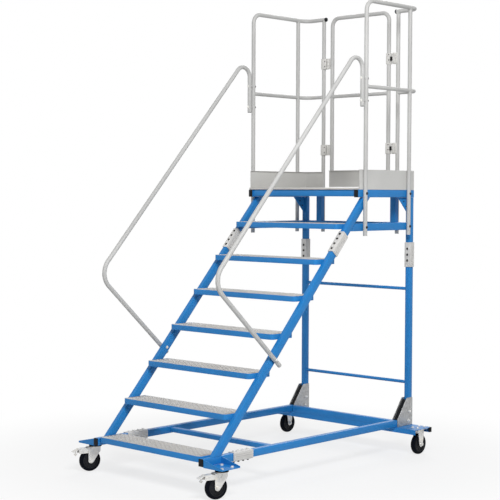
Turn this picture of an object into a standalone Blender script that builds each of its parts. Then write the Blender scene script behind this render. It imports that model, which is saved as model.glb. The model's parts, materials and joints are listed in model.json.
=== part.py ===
"""Mobile ladder stand: a welded stair with a guarded platform, on two swivel and two fixed casters.

Metres, +Z up, +X to the right of someone who climbs, +Y away from the foot of the stair.
Heights start at the floor. Lengths along Y start one step ahead of the lowest nosing, and
the empty named ladder_stand moves the whole so that its origin is the middle of the footprint.
"""
import bmesh
import bpy
from math import atan2, cos, pi, radians, sin, tan
from mathutils import Matrix, Vector

# Gap that two touching pieces keep
CLEARANCE = 0.0003

# Stair
STEP_COUNT = 7
STEP_RISE = 0.1985
STEP_RUN = 0.1824
FIRST_STEP_HEIGHT = 0.2105
STEP_DEPTH = 0.165
STEP_LIP_HEIGHT = 0.0306
STEP_SHEET = 0.003
STEP_LEDGE_WIDTH = 0.014
STEP_CORNER_RADIUS = 0.022
TREAD_PROUD = 0.002
TREAD_SHEET = 0.003
TREAD_RIB_COUNT = 7
RIB_HEIGHT = 0.0015
STRINGER_WIDTH = 0.030
STRINGER_DEPTH = 0.046
STRINGER_SETBACK = 0.1006
TUBE_WALL = 0.002

# Base frame
FRAME_WIDTH = 0.871
BASE_RAIL_WIDTH = 0.035
BASE_RAIL_HEIGHT = 0.0415
STUB_LEAD = 0.007
BASE_JOINT_Y = 0.4725
CROSS_MEMBER_Y = 0.725
CROSS_MEMBER_DEPTH = 0.040
CROSS_MEMBER_HEIGHT = 0.026
REAR_BEAM_WIDTH = 1.160
REAR_BEAM_DEPTH = 0.164
REAR_BEAM_HEIGHT = 0.030
REAR_BEAM_SHEET = 0.003
REAR_BEAM_LIP = 0.018
CROSS_TUBE_DEPTH = 0.030
CROSS_TUBE_HEIGHT = 0.040
FOOT_BRACKET_DEPTH = 0.149
FOOT_BRACKET_HEIGHT = 0.168
FOOT_BRACKET_FRONT_HEIGHT = 0.045
FOOT_BRACKET_TOP_DEPTH = 0.057
FOOT_BRACKET_SHEET = 0.003
CASTER_BRACKET_WIDTH = 0.134
CASTER_BRACKET_DEPTH = 0.1345
CASTER_BRACKET_SHEET = 0.004
CASTER_BRACKET_EDGE = 0.006

# Ribbed sleeves that join the tubes
SLEEVE_LENGTH = 0.150
SLEEVE_WALL = 0.003
SLEEVE_RIB_COUNT = 2
SLEEVE_RIB_HEIGHT = 0.0008

# Rear posts
POST_SIZE = 0.035
POST_JOINT_DROP = 0.152
ROD_RADIUS = 0.010
UPPER_ROD_HEIGHT = 0.997
LOWER_ROD_HEIGHT = 0.4222
POST_GUSSET_SIZE = 0.105
POST_GUSSET_SHEET = 0.004

# Platform
PLATFORM_LEAD = 0.024
PLATFORM_DEPTH = 0.544
PLATFORM_RAIL_WIDTH = 0.030
PLATFORM_RAIL_HEIGHT = 0.045
PLATFORM_BEAM_HEIGHT = 0.040
PLATFORM_BEAM_WIDTH = 0.040
LOWER_FRAME_DROP = 0.197
LOWER_BAR_WIDTH = 0.030
STRUT_WIDTH = 0.040
STRUT_DEPTH = 0.030
DECK_THICKNESS = 0.012
DECK_RIB_COUNT = 24
FRONT_BEAM_INSET = 0.008

# Guards, gate and handrails, all of round tube
RAIL_RADIUS = 0.0125
GUARD_POST_RADIUS = 0.0121
MID_RAIL_RADIUS = 0.0115
GUARD_HEIGHT = 1.098
GUARD_MID_HEIGHT = 0.588
GUARD_FRONT_INSET = 0.051
GUARD_REAR_POST_INSET = 0.070
GUARD_RETURN_GAP = 0.596
GUARD_BEND_RADIUS = 0.060
GUARD_END_OVERHANG = 0.004
POST_TAIL = 0.028
TOE_BOARD_HEIGHT = 0.105
TOE_BOARD_SHEET = 0.002
TOE_BOARD_RIM = 0.010
TOE_BOARD_FRONT = 0.012
GATE_WIDTH = 0.453
GATE_BEND_RADIUS = 0.050
GATE_LIFT = 0.008
GATE_BOARD_OVERHANG = 0.010
CLAMP_HEIGHT = 0.068
HINGE_LOW_HEIGHT = 0.246
HINGE_HIGH_HEIGHT = 0.800
CLAMP_WALL = 0.001
CLAMP_BACK_WALL = 0.004
HINGE_PIN_RADIUS = 0.004
HINGE_KNUCKLE_RADIUS = 0.008
HINGE_LEAF_SHEET = 0.005
HINGE_PLATE_HALF = 0.0072
LATCH_STUD_RADIUS = 0.004
LATCH_STUD_LENGTH = 0.008
LATCH_WASHER_RADIUS = 0.0075
LATCH_WASHER_SHEET = 0.0012
LATCH_BLOCK_REACH = 0.036
LATCH_BLOCK_LAP = 0.003
LATCH_DROP = 0.024
LATCH_BAR_WIDTH = 0.016
LATCH_BAR_SHEET = 0.004
LATCH_BAR_REACH = 0.056
HANDRAIL_HEIGHT = 0.862
HANDRAIL_POST_GAP = 0.010
HANDRAIL_TAIL = 0.215
HANDRAIL_TOP_RADIUS = 0.060
HANDRAIL_FOOT_RADIUS = 0.100
HANDRAIL_FOOT_LEAD = 0.040
HANDRAIL_RETURN_ANGLE = radians(42.5)
HANDRAIL_END_REACH = 0.052
SPACER_RADIUS = 0.007

# Casters
WHEEL_DIAMETER = 0.125
WHEEL_WIDTH = 0.030
HUB_WIDTH = 0.0384
HUB_RADIUS = 0.017
AXLE_RADIUS = 0.006
AXLE_HEAD_RADIUS = 0.010
AXLE_HEAD_THICKNESS = 0.006
CROWN_GAP = 0.010
FORK_SHEET = 0.003
CROWN_THICKNESS = 0.004
RACE_RADIUS = 0.033
RACE_HEIGHT = 0.0155
KING_PIN_RADIUS = 0.008
CASTER_PLATE_SIZE = 0.100
REAR_PLATE_DEPTH = 0.088
REAR_PLATE_WIDTH = 0.084
CASTER_PLATE_THICKNESS = 0.004
FORK_TRAIL = 0.035
FORK_FOOT_RADIUS = 0.016
FORK_TOP_LEAD = 0.022
FORK_SHOULDER_DROP = 0.020
FORK_TOP_TRAIL = 0.051
REAR_FORK_TOP_WIDTH = 0.054
SWIVEL_ANGLE = radians(253.25)
REAR_WHEEL_TRACK = 1.062
REAR_WHEEL_INSET = 0.0636
PEDAL_SHEET = 0.002
PEDAL_SIDE_GAP = 0.0012
PEDAL_PIVOT_TRAIL = 0.048
PEDAL_PIVOT_DROP = 0.014
PEDAL_PIVOT_RADIUS = 0.004
PEDAL_WALL_HEIGHT = 0.028
PEDAL_HEEL = 0.008
PEDAL_CHANNEL_END = 0.106
PEDAL_TIP_END = 0.140
PEDAL_TIP_DROP = 0.016

# Middle of the footprint along Y
FOOTPRINT_MIDDLE = 1.05605

# Values that follow from those above
HALF = FRAME_WIDTH / 2
SLOPE = atan2(STEP_RISE, STEP_RUN)
FRAME_TOP = FIRST_STEP_HEIGHT + STEP_COUNT * STEP_RISE
DECK_TOP = FRAME_TOP + DECK_THICKNESS
DECK_WIDTH = FRAME_WIDTH - 2 * (TOE_BOARD_SHEET + 2 * CLEARANCE)
DECK_DEPTH = PLATFORM_DEPTH - TOE_BOARD_SHEET - CLEARANCE
WHEEL_RADIUS = WHEEL_DIAMETER / 2
FORK_CROWN = WHEEL_DIAMETER + CROWN_GAP
RACE_TOP = FORK_CROWN + CROWN_THICKNESS + RACE_HEIGHT
CASTER_TOP = RACE_TOP + CLEARANCE + CASTER_PLATE_THICKNESS
MOUNT_PLANE = CASTER_TOP + CLEARANCE
BEAM_TOP = MOUNT_PLANE + REAR_BEAM_SHEET
RAIL_BOTTOM = BEAM_TOP + CLEARANCE
RAIL_TOP = RAIL_BOTTOM + BASE_RAIL_HEIGHT
PLATFORM_FRONT = (STEP_COUNT + 1) * STEP_RUN - PLATFORM_LEAD
REAR_FACE = PLATFORM_FRONT + PLATFORM_DEPTH
POST_Y = REAR_FACE - POST_SIZE / 2 - CLEARANCE
POST_X = HALF - POST_SIZE / 2
POST_FRONT = POST_Y - POST_SIZE / 2
BEAM_FRONT = REAR_FACE - REAR_BEAM_DEPTH
STUB_FRONT = STEP_RUN - STUB_LEAD
RAIL_END = REAR_FACE - FOOT_BRACKET_DEPTH - CLEARANCE
PLATFORM_RAIL_BOTTOM = FRAME_TOP - PLATFORM_RAIL_HEIGHT
LOWER_TOP = FRAME_TOP - LOWER_FRAME_DROP
LOWER_BOTTOM = LOWER_TOP - PLATFORM_RAIL_HEIGHT
POST_JOINT = LOWER_BOTTOM - POST_JOINT_DROP
STRINGER_X = HALF - STRINGER_WIDTH / 2
STRINGER_JOINT = FRAME_TOP - 1.5 * STEP_RISE - STEP_LIP_HEIGHT / 2
GUARD_X = HALF + CLEARANCE + RAIL_RADIUS
GUARD_REAR = REAR_FACE + CLEARANCE + RAIL_RADIUS
GUARD_FRONT = PLATFORM_FRONT + GUARD_FRONT_INSET
GUARD_POST_Y = REAR_FACE - GUARD_REAR_POST_INSET
GUARD_TOP = DECK_TOP + GUARD_HEIGHT - RAIL_RADIUS
GUARD_MID = DECK_TOP + GUARD_MID_HEIGHT
GUARD_FOOT = LOWER_BOTTOM - POST_TAIL
RETURN_X = GUARD_RETURN_GAP / 2
GATE_X = GATE_WIDTH / 2
HINGE_X = -(RETURN_X + GATE_X) / 2
CLAMP_HALF = RAIL_RADIUS + CLAMP_WALL
CLAMP_FRONT = GUARD_REAR - CLAMP_HALF
CLAMP_REAR = GUARD_REAR + RAIL_RADIUS + CLAMP_BACK_WALL
LATCH_X = RETURN_X - LATCH_BLOCK_REACH / 2
CLAMP_HEIGHTS = (DECK_TOP + HINGE_LOW_HEIGHT, DECK_TOP + HINGE_HIGH_HEIGHT)
HANDRAIL_Y = GUARD_FRONT - 2 * RAIL_RADIUS - HANDRAIL_POST_GAP
FORK_GAP = HUB_WIDTH / 2 + CLEARANCE
CASTER_PIVOT_X = HALF + CLEARANCE + CASTER_BRACKET_WIDTH / 2
CASTER_PIVOT_Y = STUB_FRONT + CASTER_BRACKET_DEPTH / 2
SIDES = {"left": -1, "right": 1}

# Colours as red, green, blue, with metallic and roughness values
FINISHES = {
    "blue_paint": ((0.045, 0.220, 0.560), 0.0, 0.38),
    "grey_paint": ((0.500, 0.500, 0.490), 0.0, 0.45),
    "aluminium": ((0.620, 0.610, 0.590), 0.9, 0.42),
    "galvanised": ((0.560, 0.560, 0.550), 0.9, 0.48),
    "zinc": ((0.680, 0.680, 0.690), 1.0, 0.30),
    "black_rubber": ((0.016, 0.016, 0.018), 0.0, 0.72),
}


def clear_scene():
    for old in list(bpy.data.objects):
        bpy.data.objects.remove(old, do_unlink=True)


def finish_material(finish):
    """One Principled material for each finish, shared by the pieces that wear it."""
    material = bpy.data.materials.get(finish)
    if material is None:
        colour, metallic, roughness = FINISHES[finish]
        material = bpy.data.materials.new(finish)
        material.use_nodes = True
        shader = material.node_tree.nodes["Principled BSDF"]
        shader.inputs["Base Color"].default_value = (*colour, 1.0)
        shader.inputs["Metallic"].default_value = metallic
        shader.inputs["Roughness"].default_value = roughness
        material.diffuse_color = (*colour, 1.0)
    return material


def new_empty(name, parent=None, location=(0, 0, 0), rotation=(0, 0, 0)):
    empty = bpy.data.objects.new(name, None)
    empty.location = location
    empty.rotation_euler = rotation
    empty.parent = parent
    bpy.context.scene.collection.objects.link(empty)
    return empty


def new_piece(name, bm, finish, parent, location=(0, 0, 0), rotation=(0, 0, 0)):
    """Makes a named object of a bmesh, with outward faces and smooth round parts."""
    bmesh.ops.recalc_face_normals(bm, faces=bm.faces)
    mesh = bpy.data.meshes.new(name)
    bm.to_mesh(mesh)
    bm.free()
    mesh.shade_smooth()
    mesh.set_sharp_from_angle(angle=radians(32))
    mesh.materials.append(finish_material(finish))
    piece = bpy.data.objects.new(name, mesh)
    piece.location = location
    piece.rotation_euler = rotation
    piece.parent = parent
    bpy.context.scene.collection.objects.link(piece)
    return piece


def weld_bodies(bodies):
    """Unites overlapping bodies into one closed body, as welding does."""
    shapes = []
    for body in bodies:
        bmesh.ops.recalc_face_normals(body, faces=body.faces)
        mesh = bpy.data.meshes.new("weld")
        body.to_mesh(mesh)
        body.free()
        shape = bpy.data.objects.new("weld", mesh)
        bpy.context.scene.collection.objects.link(shape)
        shapes.append(shape)
    base = shapes[0]
    for shape in shapes[1:]:
        union = base.modifiers.new("union", "BOOLEAN")
        union.operation = "UNION"
        union.object = shape
    view = bpy.context.evaluated_depsgraph_get()
    mesh = bpy.data.meshes.new_from_object(base.evaluated_get(view))
    welded = bmesh.new()
    welded.from_mesh(mesh)
    bpy.data.meshes.remove(mesh)
    for shape in shapes:
        bpy.data.objects.remove(shape, do_unlink=True)
    return welded


def moved(bm, offset=(0, 0, 0), turn=None):
    """Turns a bmesh about its origin, then shifts it."""
    if turn is not None:
        bmesh.ops.transform(bm, matrix=turn, verts=bm.verts)
    bmesh.ops.translate(bm, vec=Vector(offset), verts=bm.verts)
    return bm


def mirrored(bm, side):
    """The same shape on the other side of the middle plane."""
    if side < 0:
        bmesh.ops.scale(bm, vec=Vector((-1, 1, 1)), verts=bm.verts)
        bmesh.ops.reverse_faces(bm, faces=bm.faces)
    return bm


def block(low, high):
    """A box between two corners."""
    low, high = Vector(low), Vector(high)
    bm = bmesh.new()
    bmesh.ops.create_cube(bm, size=1.0)
    bmesh.ops.scale(bm, vec=high - low, verts=bm.verts)
    return moved(bm, (low + high) / 2)


def rod(radius, length, sides=12):
    """A cylinder along Z, from the origin up."""
    bm = bmesh.new()
    bmesh.ops.create_cone(bm, cap_ends=True, segments=sides, radius1=radius, radius2=radius, depth=length)
    return moved(bm, (0, 0, length / 2))


def plate(outline, thickness):
    """An outline in the XY plane, thickened upwards."""
    bm = bmesh.new()
    face = bm.faces.new([bm.verts.new((x, y, 0)) for x, y in outline])
    grown = bmesh.ops.extrude_face_region(bm, geom=[face])
    corners = [item for item in grown["geom"] if isinstance(item, bmesh.types.BMVert)]
    bmesh.ops.translate(bm, vec=(0, 0, thickness), verts=corners)
    return bm


# Turns that stand a plate up: its X runs along world Y and its Y along world Z
STAND_ALONG_X = Matrix(((0, 0, 1, 0), (1, 0, 0, 0), (0, 1, 0, 0), (0, 0, 0, 1)))
# Turns that lay a tube along +X, or stand it along +Z
ACROSS = Matrix.Rotation(-pi / 2, 4, "Z")
UPRIGHT = Matrix.Rotation(pi / 2, 4, "X")


def profile_along_x(outline, length):
    """An outline of (Y, Z) points, extruded along X and centred on the middle plane."""
    return moved(plate(outline, length), (-length / 2, 0, 0), STAND_ALONG_X)


def hollow(outer, inner, length):
    """A hollow section of two outlines in the XZ plane, extruded along +Y."""
    bm = bmesh.new()
    loops = []
    for outline in (outer, inner):
        corners = [bm.verts.new((x, 0, z)) for x, z in outline]
        loops.append([bm.edges.new((a, b)) for a, b in zip(corners, corners[1:] + corners[:1])])
    ring = bmesh.ops.bridge_loops(bm, edges=loops[0] + loops[1])["faces"]
    grown = bmesh.ops.extrude_face_region(bm, geom=ring, use_keep_orig=True)
    corners = [item for item in grown["geom"] if isinstance(item, bmesh.types.BMVert)]
    bmesh.ops.translate(bm, vec=(0, length, 0), verts=corners)
    bmesh.ops.recalc_face_normals(bm, faces=bm.faces)
    return bm


def arc(centre, radius, start, end, steps):
    """Points on an arc, with both ends."""
    angles = [start + (end - start) * i / steps for i in range(steps + 1)]
    return [(centre[0] + radius * cos(a), centre[1] + radius * sin(a)) for a in angles]


def rounded_rectangle(width, height, radius, steps=2):
    points = []
    for turn, (sx, sz) in enumerate(((1, 1), (-1, 1), (-1, -1), (1, -1))):
        centre = (sx * (width / 2 - radius), sz * (height / 2 - radius))
        points += arc(centre, radius, turn * pi / 2, (turn + 1) * pi / 2, steps)
    return points


def square_tube(width, height, length, lean_start=0.0, lean_end=0.0):
    """Rectangular tube along +Y. A lean cuts its end at a slant, as Y for each unit of Z."""
    outer = rounded_rectangle(width, height, 2 * TUBE_WALL)
    inner = rounded_rectangle(width - 2 * TUBE_WALL, height - 2 * TUBE_WALL, TUBE_WALL)
    bm = hollow(outer, inner, length)
    for corner in bm.verts:
        lean = lean_end if corner.co.y > length / 2 else lean_start
        corner.co.y += lean * corner.co.z
    return bm


def ribbed_outline(width, height):
    """A rectangle whose four sides carry low square ribs along the section."""
    points = []
    for turn in range(4):
        span, out = (height, width / 2) if turn % 2 == 0 else (width, height / 2)
        pitch = span / (2 * SLEEVE_RIB_COUNT + 1)
        edge = [(out, -span / 2)]
        for rib in range(SLEEVE_RIB_COUNT):
            low = -span / 2 + (2 * rib + 1) * pitch
            top = out + SLEEVE_RIB_HEIGHT
            edge += [(out, low), (top, low), (top, low + pitch), (out, low + pitch)]
        for _ in range(turn):
            edge = [(-z, x) for x, z in edge]
        points += edge
    return points


def sleeve(width, height):
    """Ribbed joint sleeve along +Y that slides over a tube of the given size."""
    bore_width = width + 2 * CLEARANCE
    bore_height = height + 2 * CLEARANCE
    outer = ribbed_outline(bore_width + 2 * SLEEVE_WALL, bore_height + 2 * SLEEVE_WALL)
    inner = rounded_rectangle(bore_width, bore_height, 2 * TUBE_WALL)
    return hollow(outer, inner, SLEEVE_LENGTH)


def bent_path(corners, radii, step=radians(22.5)):
    """Straight runs between corners, with an arc of the given radius at each inner corner."""
    corners = [Vector(c) for c in corners]
    path = [corners[0]]
    for before, corner, after, radius in zip(corners, corners[1:], corners[2:], radii):
        into = (before - corner).normalized()
        out = (after - corner).normalized()
        half = into.angle(out) / 2
        centre = corner + (into + out).normalized() * radius / sin(half)
        start = corner + into * radius / tan(half) - centre
        axis = into.cross(out).normalized()
        turn = pi - 2 * half
        count = max(2, round(turn / step))
        path += [centre + Matrix.Rotation(-turn * i / count, 3, axis) @ start for i in range(count + 1)]
    return path + [corners[-1]]


def round_tube(path, radius=RAIL_RADIUS):
    """Round tube with closed ends, swept along a path by a bevelled curve."""
    curve = bpy.data.curves.new("tube", "CURVE")
    curve.dimensions = "3D"
    curve.bevel_depth = radius
    curve.bevel_resolution = 4
    curve.use_fill_caps = True
    spline = curve.splines.new("POLY")
    spline.points.add(len(path) - 1)
    for point, place in zip(spline.points, path):
        point.co = (*place, 1.0)
    shape = bpy.data.objects.new("tube", curve)
    bpy.context.scene.collection.objects.link(shape)
    view = bpy.context.evaluated_depsgraph_get()
    mesh = bpy.data.meshes.new_from_object(shape.evaluated_get(view))
    bpy.data.objects.remove(shape, do_unlink=True)
    bm = bmesh.new()
    bm.from_mesh(mesh)
    bpy.data.meshes.remove(mesh)
    bmesh.ops.remove_doubles(bm, verts=bm.verts, dist=1e-6)
    return bm


def turned(profile, steps):
    """A closed (radius, height) profile turned about Z."""
    bm = bmesh.new()
    corners = [bm.verts.new((r, 0, z)) for r, z in profile]
    edges = [bm.edges.new((a, b)) for a, b in zip(corners, corners[1:] + corners[:1])]
    bmesh.ops.spin(bm, geom=corners + edges, cent=(0, 0, 0), axis=(0, 0, 1), angle=2 * pi,
                   steps=steps, use_merge=True)
    bmesh.ops.remove_doubles(bm, verts=bm.verts, dist=1e-6)
    return bm


def ribbed_plank(depth, height, rib_count):
    """Outline (Y, Z) of an extruded plank with low ribs on its top."""
    pitch = depth / (2 * rib_count + 1)
    top = [(0, -RIB_HEIGHT)]
    for rib in range(rib_count):
        low = (2 * rib + 1) * pitch
        top += [(low, -RIB_HEIGHT), (low + pitch / 4, 0), (low + 3 * pitch / 4, 0), (low + pitch, -RIB_HEIGHT)]
    return top + [(depth, -RIB_HEIGHT), (depth, -height), (0, -height)]


def build_base(stand):
    """Front stubs with their caster brackets, rear rails and the cross pieces that they stand on."""
    rail_x = HALF - BASE_RAIL_WIDTH / 2
    rail_z = (RAIL_BOTTOM + RAIL_TOP) / 2
    inner = HALF - BASE_RAIL_WIDTH - CLEARANCE
    for name, side in SIDES.items():
        new_piece(f"base_stub_{name}", base_stub(side), "blue_paint", stand)
        rail = square_tube(BASE_RAIL_WIDTH, BASE_RAIL_HEIGHT, RAIL_END - BASE_JOINT_Y)
        new_piece(f"base_rail_{name}", rail, "blue_paint", stand, (side * rail_x, BASE_JOINT_Y, rail_z))
        tube = sleeve(BASE_RAIL_WIDTH, BASE_RAIL_HEIGHT)
        place = (side * rail_x, BASE_JOINT_Y - SLEEVE_LENGTH / 2, rail_z)
        new_piece(f"base_sleeve_{name}", tube, "aluminium", stand, place)
        new_piece(f"foot_bracket_{name}", foot_bracket(), "galvanised", stand, (side * POST_X, 0, 0))

    member = moved(square_tube(CROSS_MEMBER_DEPTH, CROSS_MEMBER_HEIGHT, 2 * inner), (-inner, 0, 0), ACROSS)
    place = (0, CROSS_MEMBER_Y + CROSS_MEMBER_DEPTH / 2, rail_z)
    new_piece("front_cross_member", member, "blue_paint", stand, place)
    height = CROSS_TUBE_HEIGHT + REAR_BEAM_SHEET / 2
    reach = HALF - max(BASE_RAIL_WIDTH, POST_SIZE + FOOT_BRACKET_SHEET + CLEARANCE) - CLEARANCE
    tube = moved(square_tube(CROSS_TUBE_DEPTH, height, 2 * reach), (-reach, 0, 0), ACROSS)
    moved(tube, (0, BEAM_FRONT + CROSS_TUBE_DEPTH / 2, BEAM_TOP - REAR_BEAM_SHEET / 2 + height / 2))
    channel = profile_along_x(rear_beam_outline(), REAR_BEAM_WIDTH)
    new_piece("rear_beam", weld_bodies([channel, tube]), "blue_paint", stand)


def base_stub(side):
    """Front length of a base rail with the welded bracket that stands on the swivel caster."""
    tube = square_tube(BASE_RAIL_WIDTH, BASE_RAIL_HEIGHT, BASE_JOINT_Y - CLEARANCE - STUB_FRONT)
    moved(tube, (HALF - BASE_RAIL_WIDTH / 2, STUB_FRONT, (RAIL_BOTTOM + RAIL_TOP) / 2))
    return mirrored(weld_bodies([tube, caster_bracket()]), side)


def rear_beam_outline():
    """Folded channel, open below, with a stiffening lip along its rear edge."""
    front, rear = BEAM_FRONT, REAR_FACE
    low, high = BEAM_TOP - REAR_BEAM_HEIGHT, BEAM_TOP
    sheet = REAR_BEAM_SHEET
    return [(front, low), (front, high), (rear, high), (rear, low), (rear - REAR_BEAM_LIP, low),
            (rear - REAR_BEAM_LIP, low + sheet), (rear - sheet, low + sheet), (rear - sheet, high - sheet),
            (front + sheet, high - sheet), (front + sheet, low)]


def slanted_cut(bm, point, along, across):
    """Cuts away what lies above a slanted plane and closes the cut."""
    normal = Vector(along).cross(Vector(across)).normalized()
    normal = normal if normal.z > 0 else -normal
    everything = list(bm.verts) + list(bm.edges) + list(bm.faces)
    bmesh.ops.bisect_plane(bm, geom=everything, plane_co=point, plane_no=normal, clear_outer=True)
    bmesh.ops.holes_fill(bm, edges=[edge for edge in bm.edges if edge.is_boundary], sides=0)
    return bm


def trough(width, height, sheet):
    """Outline of a U-shaped folded section, centred, standing on its base."""
    half = width / 2
    return [(-half, 0), (half, 0), (half, height), (half - sheet, height), (half - sheet, sheet),
            (-half + sheet, sheet), (-half + sheet, height), (-half, height)]


def caster_bracket():
    """Plate beside the stub with a triangular wall at its front and at its rear."""
    height = RAIL_TOP - MOUNT_PLANE - 2 * TUBE_WALL
    outline = trough(CASTER_BRACKET_DEPTH, height, CASTER_BRACKET_SHEET)
    root = TUBE_WALL / 2
    bm = moved(plate(outline, CASTER_BRACKET_WIDTH + root), (-root, 0, 0), STAND_ALONG_X)
    fall = CASTER_BRACKET_EDGE + CASTER_BRACKET_SHEET - height
    slanted_cut(bm, (0, 0, height), (CASTER_BRACKET_WIDTH, 0, fall), (0, 1, 0))
    return moved(bm, (HALF, CASTER_PIVOT_Y, MOUNT_PLANE))


def foot_bracket():
    """U-shaped foot whose two tapered cheeks hold the rear post."""
    width = POST_SIZE + 2 * (CLEARANCE + FOOT_BRACKET_SHEET)
    section = trough(width, FOOT_BRACKET_HEIGHT, FOOT_BRACKET_SHEET)
    turn = Matrix.Rotation(pi / 2, 4, "X")
    bm = moved(plate(section, FOOT_BRACKET_DEPTH), (0, FOOT_BRACKET_DEPTH, 0), turn)
    taper = FOOT_BRACKET_DEPTH - FOOT_BRACKET_TOP_DEPTH
    climb = FOOT_BRACKET_HEIGHT - FOOT_BRACKET_FRONT_HEIGHT
    slanted_cut(bm, (0, 0, FOOT_BRACKET_FRONT_HEIGHT), (0, taper, climb), (1, 0, 0))
    return moved(bm, (0, REAR_FACE - FOOT_BRACKET_DEPTH, RAIL_BOTTOM))


def build_posts(stand):
    """Rear posts: a lower tube in the foot bracket, an upper tube of the platform, and a sleeve."""
    foot = RAIL_BOTTOM + FOOT_BRACKET_SHEET + CLEARANCE
    for name, side in SIDES.items():
        lower = moved(square_tube(POST_SIZE, POST_SIZE, POST_JOINT - CLEARANCE - foot), (0, 0, 0), UPRIGHT)
        new_piece(f"rear_post_{name}", lower, "blue_paint", stand, (side * POST_X, POST_Y, foot))
        new_piece(f"upper_post_{name}", upper_post(), "blue_paint", stand, (side * POST_X, POST_Y, 0))
        tube = moved(sleeve(POST_SIZE, POST_SIZE), (0, 0, 0), UPRIGHT)
        place = (side * POST_X, POST_Y, POST_JOINT - SLEEVE_LENGTH / 2)
        new_piece(f"post_sleeve_{name}", tube, "aluminium", stand, place)
    reach = POST_X - POST_SIZE / 2 - CLEARANCE
    for name, height in (("upper", UPPER_ROD_HEIGHT), ("lower", LOWER_ROD_HEIGHT)):
        bar = moved(rod(ROD_RADIUS, 2 * reach), (-reach, 0, 0), Matrix.Rotation(pi / 2, 4, "Y"))
        new_piece(f"{name}_cross_rod", bar, "blue_paint", stand, (0, POST_Y, height))


def upper_post():
    """Upper length of a rear post with its triangular gusset under the platform rail."""
    top = PLATFORM_RAIL_BOTTOM - CLEARANCE
    tube = moved(square_tube(POST_SIZE, POST_SIZE, top - POST_JOINT), (0, 0, POST_JOINT), UPRIGHT)
    rear = -POST_SIZE / 2 + TUBE_WALL / 2
    front = rear - POST_GUSSET_SIZE
    outline = [(front, top), (rear, top), (rear, top - POST_GUSSET_SIZE)]
    gusset = moved(plate(outline, POST_GUSSET_SHEET), (-POST_GUSSET_SHEET / 2, 0, 0), STAND_ALONG_X)
    return weld_bodies([tube, gusset])


def nosing_height(step):
    return FIRST_STEP_HEIGHT + (step - 1) * STEP_RISE


def stringer_y(height):
    """Y of the stringer's centre line at a height."""
    return STEP_RUN + STRINGER_SETBACK + (height - FIRST_STEP_HEIGHT) / tan(SLOPE)


def along_slope(low, high, lean_start, lean_end):
    """Stringer tube between two heights of its centre line, laid along the slope."""
    length = (high - low) / sin(SLOPE)
    bm = square_tube(STRINGER_WIDTH, STRINGER_DEPTH, length, lean_start, lean_end)
    return moved(bm, (0, stringer_y(low), low), Matrix.Rotation(SLOPE, 4, "X"))


def build_stair(stand):
    """Stringers, their joint sleeves and the steps between them."""
    level = -1 / tan(SLOPE)
    foot = RAIL_TOP + CLEARANCE
    top = PLATFORM_RAIL_BOTTOM - CLEARANCE
    for name, side in SIDES.items():
        place = (side * STRINGER_X, 0, 0)
        lower = along_slope(foot, STRINGER_JOINT - CLEARANCE, level, 0.0)
        new_piece(f"stringer_{name}", lower, "blue_paint", stand, place)
        new_piece(f"stringer_stub_{name}", along_slope(STRINGER_JOINT, top, 0.0, level), "blue_paint", stand, place)
        tube = moved(sleeve(STRINGER_WIDTH, STRINGER_DEPTH), (0, -SLEEVE_LENGTH / 2, 0))
        place = (side * STRINGER_X, stringer_y(STRINGER_JOINT), STRINGER_JOINT)
        new_piece(f"stringer_sleeve_{name}", tube, "aluminium", stand, place, (SLOPE, 0, 0))
    for step in range(1, STEP_COUNT + 1):
        side_tube = BASE_RAIL_WIDTH if step == 1 else STRINGER_WIDTH
        half = HALF - side_tube - CLEARANCE
        place = (0, step * STEP_RUN, nosing_height(step))
        new_piece(f"step_{step}", weld_bodies([step_frame(half), tread(half)]), "blue_paint", stand, place)


def step_loop(half, inset, height):
    """Plan outline of a step with rounded front corners, drawn in by an inset."""
    radius = max(STEP_CORNER_RADIUS - inset, STEP_SHEET / 2)
    wide, front, rear = half - inset, inset, STEP_DEPTH - inset
    left = arc((-wide + radius, front + radius), radius, pi, 1.5 * pi, 3)
    right = arc((wide - radius, front + radius), radius, 1.5 * pi, 2 * pi, 3)
    return [(x, y, height) for x, y in left + right + [(wide, rear), (-wide, rear)]]


def step_frame(half):
    """Folded step frame: a standing rim with a ledge inside, on which the tread lies."""
    low, ledge = -STEP_LIP_HEIGHT, -STEP_LIP_HEIGHT + STEP_SHEET
    section = [(0, low), (0, 0), (STEP_SHEET, 0), (STEP_SHEET, ledge),
               (STEP_LEDGE_WIDTH, ledge), (STEP_LEDGE_WIDTH, low)]
    bm = bmesh.new()
    loops = [[bm.verts.new(point) for point in step_loop(half, inset, z)] for inset, z in section]
    for lower, upper in zip(loops, loops[1:] + loops[:1]):
        for i, corner in enumerate(lower):
            after = (i + 1) % len(lower)
            bm.faces.new((corner, lower[after], upper[after], upper[i]))
    return bm


def tread(half):
    """Ribbed plank that spans the rim of a step frame and stands a little proud of it."""
    inset = STEP_SHEET / 2
    front = STEP_SHEET + STEP_CORNER_RADIUS
    depth = STEP_DEPTH - inset - front
    outline = ribbed_plank(depth, TREAD_PROUD + TREAD_SHEET, TREAD_RIB_COUNT)
    body = profile_along_x([(front + y, TREAD_PROUD + z) for y, z in outline], 2 * (half - inset))
    corner = STEP_CORNER_RADIUS - inset
    wide = half - inset
    left = arc((-wide + corner, inset + corner), corner, pi, 1.5 * pi, 3)
    right = arc((wide - corner, inset + corner), corner, 1.5 * pi, 2 * pi, 3)
    lap = front + TREAD_SHEET
    nose = plate(left + right + [(wide, lap), (-wide, lap)], TREAD_SHEET)
    return weld_bodies([body, moved(nose, (0, 0, -TREAD_SHEET - RIB_HEIGHT / 2))])


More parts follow.
